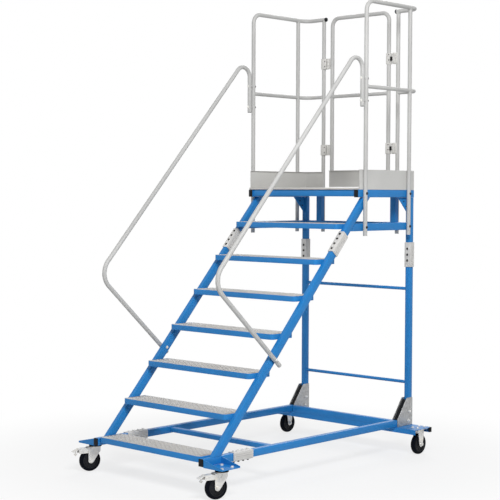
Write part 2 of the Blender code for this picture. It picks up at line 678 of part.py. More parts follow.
def build_platform(stand):
    """Side rails, cross beams, the lower frame and the ribbed deck."""
    rail_x = HALF - PLATFORM_RAIL_WIDTH / 2
    inner = HALF - PLATFORM_RAIL_WIDTH - CLEARANCE
    rail_z = PLATFORM_RAIL_BOTTOM + PLATFORM_RAIL_HEIGHT / 2
    lower_z = LOWER_BOTTOM + PLATFORM_RAIL_HEIGHT / 2
    start = stringer_y(lower_z) + STRINGER_DEPTH / 2 / sin(SLOPE) + 2 * CLEARANCE
    for name, side in SIDES.items():
        rail = square_tube(PLATFORM_RAIL_WIDTH, PLATFORM_RAIL_HEIGHT, PLATFORM_DEPTH)
        place = (side * rail_x, PLATFORM_FRONT, rail_z)
        new_piece(f"platform_rail_{name}", rail, "blue_paint", stand, place)
        length = POST_FRONT - CLEARANCE - start
        lower = square_tube(PLATFORM_RAIL_WIDTH, PLATFORM_RAIL_HEIGHT, length, 1 / tan(SLOPE))
        new_piece(f"lower_rail_{name}", lower, "blue_paint", stand, (side * rail_x, start, lower_z))
    beam = moved(square_tube(PLATFORM_BEAM_WIDTH, PLATFORM_BEAM_HEIGHT, 2 * inner), (-inner, 0, 0), ACROSS)
    place = (0, PLATFORM_FRONT + FRONT_BEAM_INSET + PLATFORM_BEAM_WIDTH / 2, FRAME_TOP - PLATFORM_BEAM_HEIGHT / 2)
    new_piece("platform_front_beam", beam, "blue_paint", stand, place)
    new_piece("platform_rear_frame", rear_frame(inner, lower_z), "blue_paint", stand)
    outline = ribbed_plank(DECK_DEPTH, DECK_THICKNESS - CLEARANCE, DECK_RIB_COUNT)
    planks = profile_along_x([(PLATFORM_FRONT + y, DECK_TOP + z) for y, z in outline], DECK_WIDTH)
    new_piece("platform_deck", planks, "aluminium", stand)


def rear_frame(inner, lower_z):
    """Rear beam of the platform, the bar below it and the two struts that carry the guard returns."""
    beam = moved(square_tube(PLATFORM_BEAM_WIDTH, PLATFORM_BEAM_HEIGHT, 2 * inner), (-inner, 0, 0), ACROSS)
    moved(beam, (0, REAR_FACE - PLATFORM_BEAM_WIDTH / 2, FRAME_TOP - PLATFORM_BEAM_HEIGHT / 2))
    reach = POST_X - POST_SIZE / 2 - CLEARANCE
    bar = moved(square_tube(LOWER_BAR_WIDTH, PLATFORM_RAIL_HEIGHT, 2 * reach), (-reach, 0, 0), ACROSS)
    moved(bar, (0, REAR_FACE - LOWER_BAR_WIDTH / 2, lower_z))
    low = LOWER_TOP - TUBE_WALL / 2
    high = FRAME_TOP - PLATFORM_BEAM_HEIGHT + TUBE_WALL / 2
    bodies = [beam, bar]
    half = STRUT_WIDTH / 2
    rear = REAR_FACE - CLEARANCE
    for side in SIDES.values():
        x = side * RETURN_X
        bodies.append(block((x - half, rear - STRUT_DEPTH, low), (x + half, rear, high)))
    return weld_bodies(bodies)


def build_guards(stand):
    """Tube guards, their toe boards and the two stair handrails."""
    for name, side in SIDES.items():
        new_piece(f"guard_{name}", guard(side), "grey_paint", stand)
        new_piece(f"toe_board_{name}", toe_board(side), "grey_paint", stand)
        new_piece(f"handrail_{name}", handrail(side), "grey_paint", stand)


def guard(side):
    """Front post that bends into the top rail and round the rear corner, with a mid rail and two posts.

    The left guard also carries the hinge blocks of the gate, the right one its latch blocks.
    """
    x, end = side * GUARD_X, side * (RETURN_X - RAIL_RADIUS - GUARD_END_OVERHANG)
    bend = GUARD_BEND_RADIUS
    top = [(x, GUARD_FRONT, GUARD_FOOT), (x, GUARD_FRONT, GUARD_TOP), (x, GUARD_REAR, GUARD_TOP),
           (end, GUARD_REAR, GUARD_TOP)]
    weld = RAIL_RADIUS / 3
    mid = [(x, GUARD_FRONT - weld, GUARD_MID), (x, GUARD_REAR, GUARD_MID),
           (side * (RETURN_X - weld), GUARD_REAR, GUARD_MID)]
    bodies = [round_tube(bent_path(top, (bend, bend))), round_tube(bent_path(mid, (bend,)), MID_RAIL_RADIUS)]
    for place in ((x, GUARD_POST_Y), (side * RETURN_X, GUARD_REAR)):
        bodies.append(round_tube([Vector((*place, GUARD_FOOT)), Vector((*place, GUARD_TOP))], GUARD_POST_RADIUS))
    for height in CLAMP_HEIGHTS:
        bodies += hinge_clamp(height) if side < 0 else latch_block(height)
    return weld_bodies(bodies)


def toe_board(side):
    """Folded strip round the deck along the side and the short return, with a turned-in top rim."""
    outside, rear = HALF - CLEARANCE, REAR_FACE
    front = PLATFORM_FRONT + TOE_BOARD_FRONT
    end = RETURN_X - RAIL_RADIUS
    sheet, rim = TOE_BOARD_SHEET, TOE_BOARD_RIM
    wall = [(outside, front), (outside, rear), (end, rear), (end, rear - sheet),
            (outside - sheet, rear - sheet), (outside - sheet, front)]
    ledge = [(outside, front), (outside, rear), (end, rear), (end, rear - rim),
             (outside - rim, rear - rim), (outside - rim, front)]
    low = FRAME_TOP + CLEARANCE
    high = DECK_TOP + TOE_BOARD_HEIGHT
    bodies = [moved(plate(wall, high - low), (0, 0, low)), moved(plate(ledge, sheet), (0, 0, high - sheet))]
    return mirrored(weld_bodies(bodies), side)


def handrail(side):
    """Tube beside the stair: bolted to the guard post above, and through the stringer below."""
    x = side * GUARD_X
    top_z = FIRST_STEP_HEIGHT + HANDRAIL_HEIGHT + (HANDRAIL_Y - STEP_RUN) * tan(SLOPE)
    foot_y = STEP_RUN + HANDRAIL_FOOT_LEAD
    foot_z = FIRST_STEP_HEIGHT + HANDRAIL_HEIGHT + HANDRAIL_FOOT_LEAD * tan(SLOPE)
    drop = tan(HANDRAIL_RETURN_ANGLE)
    fall = foot_z - FIRST_STEP_HEIGHT - (foot_y - STEP_RUN - STRINGER_SETBACK) * tan(SLOPE)
    bolt_y = foot_y + fall / (drop + tan(SLOPE))
    back = Vector((0, cos(HANDRAIL_RETURN_ANGLE), -sin(HANDRAIL_RETURN_ANGLE)))
    bolt = Vector((x, bolt_y, foot_z - (bolt_y - foot_y) * drop))
    end = bolt + back * HANDRAIL_END_REACH
    half_angle = (pi / 2 - SLOPE) / 2
    tail = top_z - HANDRAIL_TOP_RADIUS / tan(half_angle) - HANDRAIL_TAIL
    corners = [end, (x, foot_y, foot_z), (x, HANDRAIL_Y, top_z), (x, HANDRAIL_Y, tail)]
    path = bent_path(corners, (HANDRAIL_FOOT_RADIUS, HANDRAIL_TOP_RADIUS))
    bodies = [round_tube(path)]
    for share in (0.15, 0.75):
        length = RAIL_RADIUS + HANDRAIL_POST_GAP - CLEARANCE
        spacer = moved(rod(SPACER_RADIUS, length), (0, 0, 0), Matrix.Rotation(-pi / 2, 4, "X"))
        bodies.append(moved(spacer, (x, HANDRAIL_Y, tail + share * HANDRAIL_TAIL)))
    return weld_bodies(bodies)


def build_gate(stand):
    """Swinging rear gate: hinged on the left guard, latched on the right one."""
    hinge = new_empty("gate_hinge_axis", stand, (HINGE_X, GUARD_REAR, DECK_TOP))
    local = Vector((-HINGE_X, -GUARD_REAR, -DECK_TOP))
    new_piece("gate_frame", moved(gate_frame(), local), "grey_paint", hinge)
    new_piece("gate_toe_board", moved(gate_board(), local), "grey_paint", hinge)
    for name, z in zip(("lower", "upper"), CLAMP_HEIGHTS):
        pivot = new_empty(f"latch_{name}_axis", stand, (LATCH_X, CLAMP_FRONT, z - LATCH_DROP), (0, pi / 2, 0))
        new_piece(f"gate_latch_{name}", latch_bar(), "zinc", pivot)


def gate_frame():
    """Inverted U of tube with a mid rail, hinge leaves on the left and keeper blocks on the right."""
    low = DECK_TOP + GATE_LIFT
    corners = [(-GATE_X, GUARD_REAR, low), (-GATE_X, GUARD_REAR, GUARD_TOP),
               (GATE_X, GUARD_REAR, GUARD_TOP), (GATE_X, GUARD_REAR, low)]
    bodies = [round_tube(bent_path(corners, (GATE_BEND_RADIUS, GATE_BEND_RADIUS)))]
    mid = [Vector((side * GATE_X, GUARD_REAR, GUARD_MID)) for side in SIDES.values()]
    bodies.append(round_tube(mid, MID_RAIL_RADIUS))
    third = CLAMP_HEIGHT / 3 - 2 * CLEARANCE
    half = HINGE_LEAF_SHEET / 2
    for z in CLAMP_HEIGHTS:
        near = HINGE_X + (HINGE_PIN_RADIUS + HINGE_KNUCKLE_RADIUS) / 2
        reach = third / 2 - HINGE_LEAF_SHEET / 4
        bodies.append(block((near, GUARD_REAR - half, z - reach), (-GATE_X, GUARD_REAR + half, z + reach)))
        bodies.append(moved(knuckle(third), (HINGE_X, GUARD_REAR, z - third / 2)))
        foot, head = z - CLAMP_HEIGHT / 2, z + CLAMP_HEIGHT / 2
        near = HINGE_X + HINGE_KNUCKLE_RADIUS + 5 * CLEARANCE
        plate_half = HINGE_PLATE_HALF
        bodies.append(block((near, GUARD_REAR - plate_half, foot), (-GATE_X, GUARD_REAR + plate_half, head)))
        bodies.append(block((GATE_X - CLAMP_HALF, CLAMP_FRONT, foot), (GATE_X + CLAMP_HALF, CLAMP_REAR, head)))
    return weld_bodies(bodies)


def knuckle(height):
    """Round eye of a hinge with its bore for the pin."""
    bore = HINGE_PIN_RADIUS + CLEARANCE
    profile = [(HINGE_KNUCKLE_RADIUS, 0), (HINGE_KNUCKLE_RADIUS, height), (bore, height), (bore, 0)]
    return turned(profile, 14)


def gate_board():
    """Toe board across the gate, in front of its posts."""
    half = GATE_X + GATE_BOARD_OVERHANG
    low = DECK_TOP + GATE_LIFT
    rear = GUARD_REAR - RAIL_RADIUS - CLEARANCE
    sheet = TOE_BOARD_SHEET
    outline = [(rear, low), (rear, low + TOE_BOARD_HEIGHT), (rear - TOE_BOARD_RIM, low + TOE_BOARD_HEIGHT),
               (rear - TOE_BOARD_RIM, low + TOE_BOARD_HEIGHT - sheet),
               (rear - sheet, low + TOE_BOARD_HEIGHT - sheet), (rear - sheet, low)]
    return profile_along_x(outline, 2 * half)


def hinge_clamp(z):
    """Block on the left return post with two hinge eyes, the leaves that carry them, and the pin."""
    low, high = z - CLAMP_HEIGHT / 2, z + CLAMP_HEIGHT / 2
    third = CLAMP_HEIGHT / 3
    half = HINGE_LEAF_SHEET / 2
    edge = HINGE_X - HINGE_KNUCKLE_RADIUS - 2 * CLEARANCE
    bodies = [block((-RETURN_X - CLAMP_HALF, CLAMP_FRONT, low), (edge, CLAMP_REAR, high))]
    for start in (low, low + 2 * third):
        foot, head = start + HINGE_LEAF_SHEET / 4, start + third - HINGE_LEAF_SHEET / 4
        bodies.append(block((edge - half, GUARD_REAR - half, foot), (HINGE_X, GUARD_REAR + half, head)))
        bodies.append(moved(rod(HINGE_KNUCKLE_RADIUS, third), (HINGE_X, GUARD_REAR, start)))
    pin = rod(HINGE_PIN_RADIUS, 2 * third)
    bodies.append(moved(pin, (HINGE_X, GUARD_REAR, low + third / 2)))
    return bodies


def latch_block(z):
    """Block on the gate's side of the right return post, with the stud and washer of the latch bar."""
    low, high = z - CLAMP_HEIGHT / 2, z + CLAMP_HEIGHT / 2
    near, far = RETURN_X - LATCH_BLOCK_REACH, RETURN_X + LATCH_BLOCK_LAP
    bodies = [block((near, CLAMP_FRONT, low), (far, CLAMP_REAR, high))]
    place = (LATCH_X, GUARD_REAR, z - LATCH_DROP)
    bodies.append(moved(rod(LATCH_WASHER_RADIUS, CLAMP_HALF + LATCH_WASHER_SHEET), place, UPRIGHT))
    bodies.append(moved(rod(LATCH_STUD_RADIUS, CLAMP_HALF + LATCH_STUD_LENGTH), place, UPRIGHT))
    return bodies


def latch_bar():
    """Bar that turns on the latch block's stud and drops across the front of the gate's keeper block.

    It is drawn latched, towards -X. Its empty stands it up against its block, which leaves the gate free.
    """
    half = LATCH_BAR_WIDTH / 2
    outline = arc((0, 0), half, -pi / 2, pi / 2, 8)
    outline += arc((half - LATCH_BAR_REACH, 0), half, pi / 2, 1.5 * pi, 8)
    bore = LATCH_STUD_RADIUS + CLEARANCE
    bar = plate(outline, LATCH_BAR_SHEET)
    hole = moved(rod(bore, 3 * LATCH_BAR_SHEET, 12), (0, 0, -LATCH_BAR_SHEET))
    stand_up = Matrix.Rotation(pi / 2, 4, "X")
    return moved(drilled(bar, hole), (0, -LATCH_WASHER_SHEET - CLEARANCE, 0), stand_up)


def drilled(body, cutter):
    """Takes a cutter's shape out of a body."""
    shapes = []
    for bm in (body, cutter):
        bmesh.ops.recalc_face_normals(bm, faces=bm.faces)
        mesh = bpy.data.meshes.new("drill")
        bm.to_mesh(mesh)
        bm.free()
        shape = bpy.data.objects.new("drill", mesh)
        bpy.context.scene.collection.objects.link(shape)
        shapes.append(shape)
    cut = shapes[0].modifiers.new("cut", "BOOLEAN")
    cut.operation = "DIFFERENCE"
    cut.object = shapes[1]
    view = bpy.context.evaluated_depsgraph_get()
    mesh = bpy.data.meshes.new_from_object(shapes[0].evaluated_get(view))
    result = bmesh.new()
    result.from_mesh(mesh)
    bpy.data.meshes.remove(mesh)
    for shape in shapes:
        bpy.data.objects.remove(shape, do_unlink=True)
    return result


def build_casters(stand):
    """Two braked swivel casters in front and two fixed casters behind."""
    for name, side in SIDES.items():
        place = Vector((side * CASTER_PIVOT_X, CASTER_PIVOT_Y, 0))
        new_piece(f"caster_plate_{name}", top_plate(), "zinc", stand, place)
        swivel = new_empty(f"swivel_{name}_axis", stand, place, (0, 0, SWIVEL_ANGLE))
        new_piece(f"front_fork_{name}", swivel_fork(), "zinc", swivel)
        hub = (FORK_TRAIL, 0, WHEEL_RADIUS)
        new_piece(f"front_wheel_{name}", wheel(), "black_rubber", swivel, hub)
        pedal_place = (PEDAL_PIVOT_TRAIL, 0, FORK_CROWN - PEDAL_PIVOT_DROP)
        new_piece(f"brake_pedal_{name}", brake_pedal(), "zinc", swivel, pedal_place)

    for name, side in SIDES.items():
        place = Vector((side * REAR_WHEEL_TRACK / 2, REAR_FACE - REAR_WHEEL_INSET, 0))
        new_piece(f"rear_fork_{name}", fixed_fork(), "zinc", stand, place, (0, 0, pi / 2))
        hub = place + Vector((0, 0, WHEEL_RADIUS))
        new_piece(f"rear_wheel_{name}", wheel(), "black_rubber", stand, hub, (0, 0, pi / 2))


def top_plate():
    """Square plate of a swivel caster with its king pin."""
    half = CASTER_PLATE_SIZE / 2
    low = RACE_TOP + CLEARANCE
    slab = block((-half, -half, low), (half, half, CASTER_TOP))
    pin = moved(rod(KING_PIN_RADIUS, low + CASTER_PLATE_THICKNESS / 2 - FORK_CROWN), (0, 0, FORK_CROWN))
    return weld_bodies([slab, pin])


def fork_cheeks(outline):
    """Both cheeks of a fork in the XZ plane, one on each side of the hub."""
    cheeks = []
    for y in (-FORK_GAP, FORK_GAP + FORK_SHEET):
        cheeks.append(moved(plate(outline, FORK_SHEET), (0, y, 0), UPRIGHT))
    return cheeks


def axle(trail):
    """Axle bolt across a fork, with a head outside each cheek."""
    reach = FORK_GAP + FORK_SHEET / 2
    head = FORK_GAP + FORK_SHEET + AXLE_HEAD_THICKNESS
    profile = [(0.0, head), (AXLE_HEAD_RADIUS, head), (AXLE_HEAD_RADIUS, reach), (AXLE_RADIUS, reach),
               (AXLE_RADIUS, -reach), (AXLE_HEAD_RADIUS, -reach), (AXLE_HEAD_RADIUS, -head), (0.0, -head)]
    return moved(turned(profile, 12), (trail, 0, WHEEL_RADIUS), UPRIGHT)


def swivel_fork():
    """Trailing fork: two cheeks that narrow to the axle, a crown and the round race on top."""
    top = FORK_CROWN + CROWN_THICKNESS
    radius = FORK_FOOT_RADIUS
    outline = [(FORK_TOP_TRAIL, top), (-FORK_TOP_LEAD, top), (-FORK_TOP_LEAD, FORK_CROWN - FORK_SHOULDER_DROP)]
    outline += arc((FORK_TRAIL, WHEEL_RADIUS), radius, 1.14 * pi, 2 * pi, 8)
    bodies = fork_cheeks(outline)
    wide = FORK_GAP + FORK_SHEET / 2
    bodies.append(block((-FORK_TOP_LEAD, -wide, FORK_CROWN), (FORK_TOP_TRAIL, wide, top)))
    start = FORK_CROWN + CROWN_THICKNESS / 2
    bodies.append(turned([(0.0, RACE_TOP), (RACE_RADIUS * 0.85, RACE_TOP), (RACE_RADIUS, RACE_TOP - RACE_HEIGHT / 3),
                          (RACE_RADIUS, start), (0.0, start)], 16))
    bodies.append(axle(FORK_TRAIL))
    bore = moved(rod(KING_PIN_RADIUS + CLEARANCE, 4 * RACE_HEIGHT), (0, 0, FORK_CROWN - RACE_HEIGHT))
    return drilled(weld_bodies(bodies), bore)


def fixed_fork():
    """Straight fork whose cheeks hang from a flat mounting plate."""
    low = CASTER_TOP - CASTER_PLATE_THICKNESS
    radius = FORK_FOOT_RADIUS
    half = REAR_FORK_TOP_WIDTH / 2
    top = low + CASTER_PLATE_THICKNESS / 2
    outline = [(half, top), (-half, top), (-half, FORK_CROWN)]
    outline += arc((0, WHEEL_RADIUS), radius, pi, 2 * pi, 8) + [(half, FORK_CROWN)]
    slab = block((-REAR_PLATE_DEPTH / 2, -REAR_PLATE_WIDTH / 2, low),
                 (REAR_PLATE_DEPTH / 2, REAR_PLATE_WIDTH / 2, CASTER_TOP))
    return weld_bodies(fork_cheeks(outline) + [slab, axle(0.0)])


def wheel():
    """Rubber wheel about the local Y axis, with a rounded tread, a dished side and a hub."""
    half, hub = WHEEL_WIDTH / 2, HUB_WIDTH / 2
    bore = AXLE_RADIUS + CLEARANCE
    shoulder = WHEEL_WIDTH / 4
    rim = WHEEL_RADIUS * 0.74
    dish = WHEEL_WIDTH / 5
    tyre = arc((WHEEL_RADIUS - shoulder, half - shoulder), shoulder, pi / 2, 0, 2)
    profile = [(bore, hub), (HUB_RADIUS, hub), (HUB_RADIUS * 1.15, half - dish), (rim - dish, half - dish),
               (rim, half)] + tyre
    profile += [(r, -z) for r, z in reversed(profile)]
    return moved(turned(profile, 20), (0, 0, 0), UPRIGHT)


def brake_pedal():
    """Brake pedal about its pivot: a channel over the rear of the tyre, with a tread plate behind it."""
    wide = FORK_GAP - PEDAL_SIDE_GAP
    sheet = PEDAL_SHEET
    end = PEDAL_CHANNEL_END - PEDAL_PIVOT_TRAIL
    start = FORK_TOP_TRAIL + PEDAL_SIDE_GAP - PEDAL_PIVOT_TRAIL
    top = PEDAL_PIVOT_DROP - PEDAL_SIDE_GAP
    low = top - PEDAL_WALL_HEIGHT
    wall = [(-PEDAL_HEEL, top - sheet), (-PEDAL_HEEL, -PEDAL_HEEL), (start, low), (end, low), (end, top)]
    wall += [(start, top)]
    bodies = []
    for y in (-wide + sheet, wide):
        bodies.append(moved(plate(wall, sheet), (0, y, 0), UPRIGHT))
    roof = wide - sheet / 2
    bodies.append(block((start + sheet, -roof, top - sheet), (end - sheet, roof, top - sheet / 4)))
    tip = PEDAL_TIP_END - PEDAL_PIVOT_TRAIL
    fall = top - PEDAL_TIP_DROP
    lap = end - 3 * sheet
    tread_plate = [(lap, top - sheet), (end, top - sheet), (tip, fall), (tip, fall - sheet), (end, top - 2 * sheet),
                   (lap, top - 2 * sheet)]
    bodies.append(moved(plate(tread_plate, 2 * roof), (0, roof, 0), UPRIGHT))
    reach = PEDAL_SIDE_GAP - CLEARANCE + sheet / 2
    for y in (-FORK_GAP + CLEARANCE + reach, FORK_GAP - CLEARANCE):
        bodies.append(moved(rod(PEDAL_PIVOT_RADIUS, reach, 10), (0, y, 0), UPRIGHT))
    return weld_bodies(bodies)


def main():
    clear_scene()
    stand = new_empty("ladder_stand", location=(0, -FOOTPRINT_MIDDLE, 0))
    build_base(stand)
    build_posts(stand)
    build_stair(stand)
    build_platform(stand)
    build_guards(stand)
    build_gate(stand)
    build_casters(stand)


main()
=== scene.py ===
# %% [markdown]
# # A rolling ladder stand
# The stand is a stair of folded steps between two square tubes, a platform with tube guards and a swinging
# gate, and four casters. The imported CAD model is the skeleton: it says where every piece is and how it
# moves. This lesson dresses it with finer pieces and with finishes made of nodes.

# %% Load the frame
import json

import bmesh
import bpy
from math import atan2, cos, pi, radians, sin, tan
from mathutils import Matrix, Vector


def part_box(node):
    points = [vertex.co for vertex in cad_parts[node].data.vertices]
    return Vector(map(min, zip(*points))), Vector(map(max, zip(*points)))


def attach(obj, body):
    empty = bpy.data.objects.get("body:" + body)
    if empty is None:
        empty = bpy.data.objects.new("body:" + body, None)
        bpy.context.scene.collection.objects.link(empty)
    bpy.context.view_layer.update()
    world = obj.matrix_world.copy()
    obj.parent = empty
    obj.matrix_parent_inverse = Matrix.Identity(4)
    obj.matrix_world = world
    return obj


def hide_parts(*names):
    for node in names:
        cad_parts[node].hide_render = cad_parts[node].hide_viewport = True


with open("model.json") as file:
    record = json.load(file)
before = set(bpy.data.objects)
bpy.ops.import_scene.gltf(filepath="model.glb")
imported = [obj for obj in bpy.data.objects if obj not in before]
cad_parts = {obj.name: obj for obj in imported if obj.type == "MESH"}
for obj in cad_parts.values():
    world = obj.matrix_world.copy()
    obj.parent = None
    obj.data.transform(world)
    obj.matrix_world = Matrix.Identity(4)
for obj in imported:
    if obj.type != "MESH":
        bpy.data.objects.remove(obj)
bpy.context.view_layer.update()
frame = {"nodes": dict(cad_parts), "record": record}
JOINTS = {joint["name"]: joint for joint in frame["record"]["behaviour"]["joints"]}

# %% [markdown]
# ## Camera
# The photograph was taken from beyond the right front corner, a little above the middle of the stand and
# from almost eight metres away, so its edges run nearly parallel. A Track To constraint could aim the
# camera, but the photograph also leans a little. So heading, tilt and roll are put together as a matrix, in
# which each turn follows the one before it, and a long lens frames the stand.

# %% Camera
CAMERA_PLACE = (5.22666, -5.63395, 1.56811)
CAMERA_HEADING = radians(43.22443)
CAMERA_TILT = radians(-2.40276)
CAMERA_ROLL = radians(0.21843)
CAMERA_LENS = 94.945
SENSOR_WIDTH = 36.0

lens = bpy.data.cameras.new("camera")
lens.lens = CAMERA_LENS
lens.sensor_width = SENSOR_WIDTH
camera = bpy.data.objects.new("camera", lens)
heading = Matrix.Rotation(CAMERA_HEADING, 4, "Z")
tilt = Matrix.Rotation(pi / 2 + CAMERA_TILT, 4, "X")
roll = Matrix.Rotation(CAMERA_ROLL, 4, "Z")
camera.matrix_world = Matrix.Translation(CAMERA_PLACE) @ heading @ tilt @ roll
bpy.context.scene.collection.objects.link(camera)
bpy.context.scene.camera = camera
bpy.context.scene.view_settings.view_transform = "Standard"
print("lens", CAMERA_LENS, "mm")

# %% [markdown]
# ## Nodes for the finishes
# Every finish is a small tree of nodes. It could be wired by hand in the editor, but a few helpers keep it
# short enough to read: one adds a node and wires its sockets, the others make a noise, a row of colours, a
# range of roughness and a bump. Patterns read Object coordinates, which are metres here, because every
# piece keeps its place in its mesh.

# %% Node helpers
def add_node(tree, kind, sockets=None, **settings):
    """Adds a node. A socket among the values is wired, any other value is set."""
    made = tree.nodes.new(kind)
    for key, value in settings.items():
        setattr(made, key, value)
    for name, value in (sockets or {}).items():
        if isinstance(value, bpy.types.NodeSocket):
            tree.links.new(value, made.inputs[name])
        else:
            made.inputs[name].default_value = value
    return made


def colour_ramp(tree, factor, *stops):
    """A colour ramp over a grey pattern. Each stop is a place and a colour."""
    made = add_node(tree, "ShaderNodeValToRGB", {"Fac": factor})
    band = made.color_ramp
    while len(band.elements) < len(stops):
        band.elements.new(0.5)
    for element, (place, colour) in zip(band.elements, stops):
        element.position = place
        element.color = (*colour, 1.0)
    return made.outputs["Color"]


def spread(tree, value, low, high):
    """Maps the middle of a pattern's range to low and high."""
    sockets = {"Value": value, "From Min": 0.3, "From Max": 0.7, "To Min": low, "To Max": high}
    return add_node(tree, "ShaderNodeMapRange", sockets).outputs["Result"]


def noise(tree, place, scale, detail=2.0, rough=0.5):
    """Soft noise: how fine it is, how many layers it has and how strong its fine layers are."""
    sockets = {"Vector": place, "Scale": scale, "Detail": detail, "Roughness": rough}
    return add_node(tree, "ShaderNodeTexNoise", sockets).outputs["Fac"]


def blend(tree, first, second, share):
    """Two patterns in one, with a share of the first."""
    part = add_node(tree, "ShaderNodeMath", {0: first, 1: share}, operation="MULTIPLY").outputs[0]
    sockets = {0: second, 1: 1.0 - share, 2: part}
    return add_node(tree, "ShaderNodeMath", sockets, operation="MULTIPLY_ADD").outputs[0]


def shade(colour, amount):
    """A colour made darker or lighter."""
    return tuple(min(1.0, channel * amount) for channel in colour)


print("half of a light grey", shade((0.8, 0.8, 0.8), 0.5))

# %% [markdown]
# A finish starts as a material with its shader, and ends when colour, roughness and bump are wired to it. A
# value that is the same all over is set on the shader itself, because an exported model keeps it only
# there.

# %% Finish helpers
def start_finish(name, colour, metallic=0.0, specular=0.5):
    """A new material with its shader and its Object coordinates."""
    material = bpy.data.materials.new(name)
    material.use_nodes = True
    material.diffuse_color = (*colour, 1.0)
    tree = material.node_tree
    shader = tree.nodes["Principled BSDF"]
    shader.inputs["Metallic"].default_value = metallic
    shader.inputs["Specular IOR Level"].default_value = specular
    place = add_node(tree, "ShaderNodeTexCoord").outputs["Object"]
    return material, tree, shader, place


def surface(tree, shader, colour, roughness):
    """Wires a colour and a roughness to the shader."""
    tree.links.new(colour, shader.inputs["Base Color"])
    tree.links.new(roughness, shader.inputs["Roughness"])


def bump(tree, shader, height, strength, distance):
    """Wires a pattern to the shader as relief. The distance is in metres."""
    made = add_node(tree, "ShaderNodeBump", {"Height": height, "Strength": strength, "Distance": distance})
    tree.links.new(made.outputs["Normal"], shader.inputs["Normal"])


print("materials so far", len(bpy.data.materials))

# %% [markdown]
# ## Powder coat
# The tubes are powder coated: a plastic skin that flows when it is baked and keeps a faint orange-peel
# ripple of about two millimetres. That is too fine to model, so it is a bump from noise. Broad noise
# changes the tone a little, as the thickness of the coat does, and a third noise makes handled places
# duller. The rounded corners of square tubes get a lighter colour, a painted highlight. Those faces carry
# an attribute, thin_coat, so the painted highlight stays on the real corner.

# %% Blue and grey powder coat
BLUE = (0.016, 0.205, 0.545)
# Painted highlight: the rounded corners of square tubes get this lighter blue.
EDGE_HIGHLIGHT_BLUE = (0.110, 0.400, 0.740)
GREY = (0.510, 0.510, 0.502)
# Painted light: the toe boards take a lighter copy of the grey coat, for light the lamps give them too little
# of.
BOARD_GREY_PAINTED_LIGHT = (0.600, 0.600, 0.585)
SPECK_SHARE = 0.30
# The colour sockets of a Mix node share their names with its number sockets, so they are taken by place.
MIX_FIRST, MIX_SECOND, MIX_COLOUR = 6, 7, 2


def powder_coat(name, colour, highlight_colour, smooth, dull):
    """Powder coat in one colour, with a painted highlight colour for rounded corners and a range of
    roughness.
    """
    material, tree, shader, place = start_finish(name, colour, specular=0.30)
    speck = noise(tree, place, scale=1300.0, detail=1.0)
    tone = noise(tree, place, scale=3.0, detail=3.0)
    sockets = {"Factor": SPECK_SHARE, "A": tone, "B": speck}
    tone = add_node(tree, "ShaderNodeMix", sockets).outputs["Result"]
    tones = colour_ramp(tree, tone, (0.32, shade(colour, 0.88)), (0.52, colour), (0.70, shade(colour, 1.10)))
    # Painted highlight: faces marked with the attribute mix towards the lighter corner colour.
    corner = add_node(tree, "ShaderNodeAttribute", attribute_name="thin_coat").outputs["Fac"]
    sockets = {"Factor": corner, MIX_FIRST: tones, MIX_SECOND: (*highlight_colour, 1.0)}
    mixed = add_node(tree, "ShaderNodeMix", sockets, data_type="RGBA").outputs[MIX_COLOUR]
    handled = noise(tree, place, scale=11.0, detail=5.0, rough=0.6)
    surface(tree, shader, mixed, spread(tree, handled, smooth, dull))
    bump(tree, shader, noise(tree, place, scale=420.0), strength=0.14, distance=0.0004)
    return material


blue_coat = powder_coat("blue_powder_coat", BLUE, EDGE_HIGHLIGHT_BLUE, 0.30, 0.44)
grey_coat = powder_coat("grey_powder_coat", GREY, GREY, 0.36, 0.50)
# The board coat is the grey coat painted lighter, as painted light on the flat boards.
board_coat_painted_light = powder_coat("board_powder_coat_painted_light", BOARD_GREY_PAINTED_LIGHT, BOARD_GREY_PAINTED_LIGHT, 0.40, 0.54)
print("powder coats", blue_coat.name, grey_coat.name, board_coat_painted_light.name)

# %% [markdown]
# ## Extruded aluminium
# Treads, deck and joint sleeves are pressed through a die, which draws fine lines along the piece. Lines
# could be cut into the mesh, but noise that is stretched along one axis gives them at no cost. The axis
# differs from piece to piece, so the finish takes a turn that brings the length of the piece onto X before
# the noise is read. The teeth of the treads are scuffed by shoes. Between them the plank is darker and
# browner: dirt in the grooves, with their shade painted in as well.

# %% Aluminium
ALUMINIUM = (0.660, 0.652, 0.636)
TRODDEN_ALUMINIUM = (0.570, 0.556, 0.535)
# Dirt and painted shade: the plank between the teeth is darker and browner.
DIRT_AND_SHADE_ALUMINIUM = (0.330, 0.298, 0.262)
DRAWN_LINES = (1.5, 260.0, 260.0)
STEP_RISE = 0.1985
STEP_RUN = 0.1824
STAIR_SLOPE = atan2(STEP_RISE, STEP_RUN)


def extruded_aluminium(name, turn=(0, 0, 0), colour=ALUMINIUM):
    """Aluminium with drawn lines. The turn brings the length of the piece onto X."""
    material, tree, shader, place = start_finish(name, colour, metallic=0.25)
    laid = add_node(tree, "ShaderNodeMapping", {"Vector": place, "Rotation": turn}).outputs["Vector"]
    drawn = add_node(tree, "ShaderNodeMapping", {"Vector": laid, "Scale": DRAWN_LINES}).outputs["Vector"]
    lines = noise(tree, drawn, scale=1.0, detail=4.0, rough=0.6)
    clouds = noise(tree, place, scale=16.0, detail=6.0, rough=0.62)
    mixed = blend(tree, lines, clouds, share=0.55)
    tones = colour_ramp(tree, mixed, (0.34, shade(colour, 0.84)), (0.52, colour), (0.70, shade(colour, 1.10)))
    surface(tree, shader, tones, spread(tree, mixed, 0.34, 0.52))
    bump(tree, shader, lines, strength=0.25, distance=0.0003)
    return material


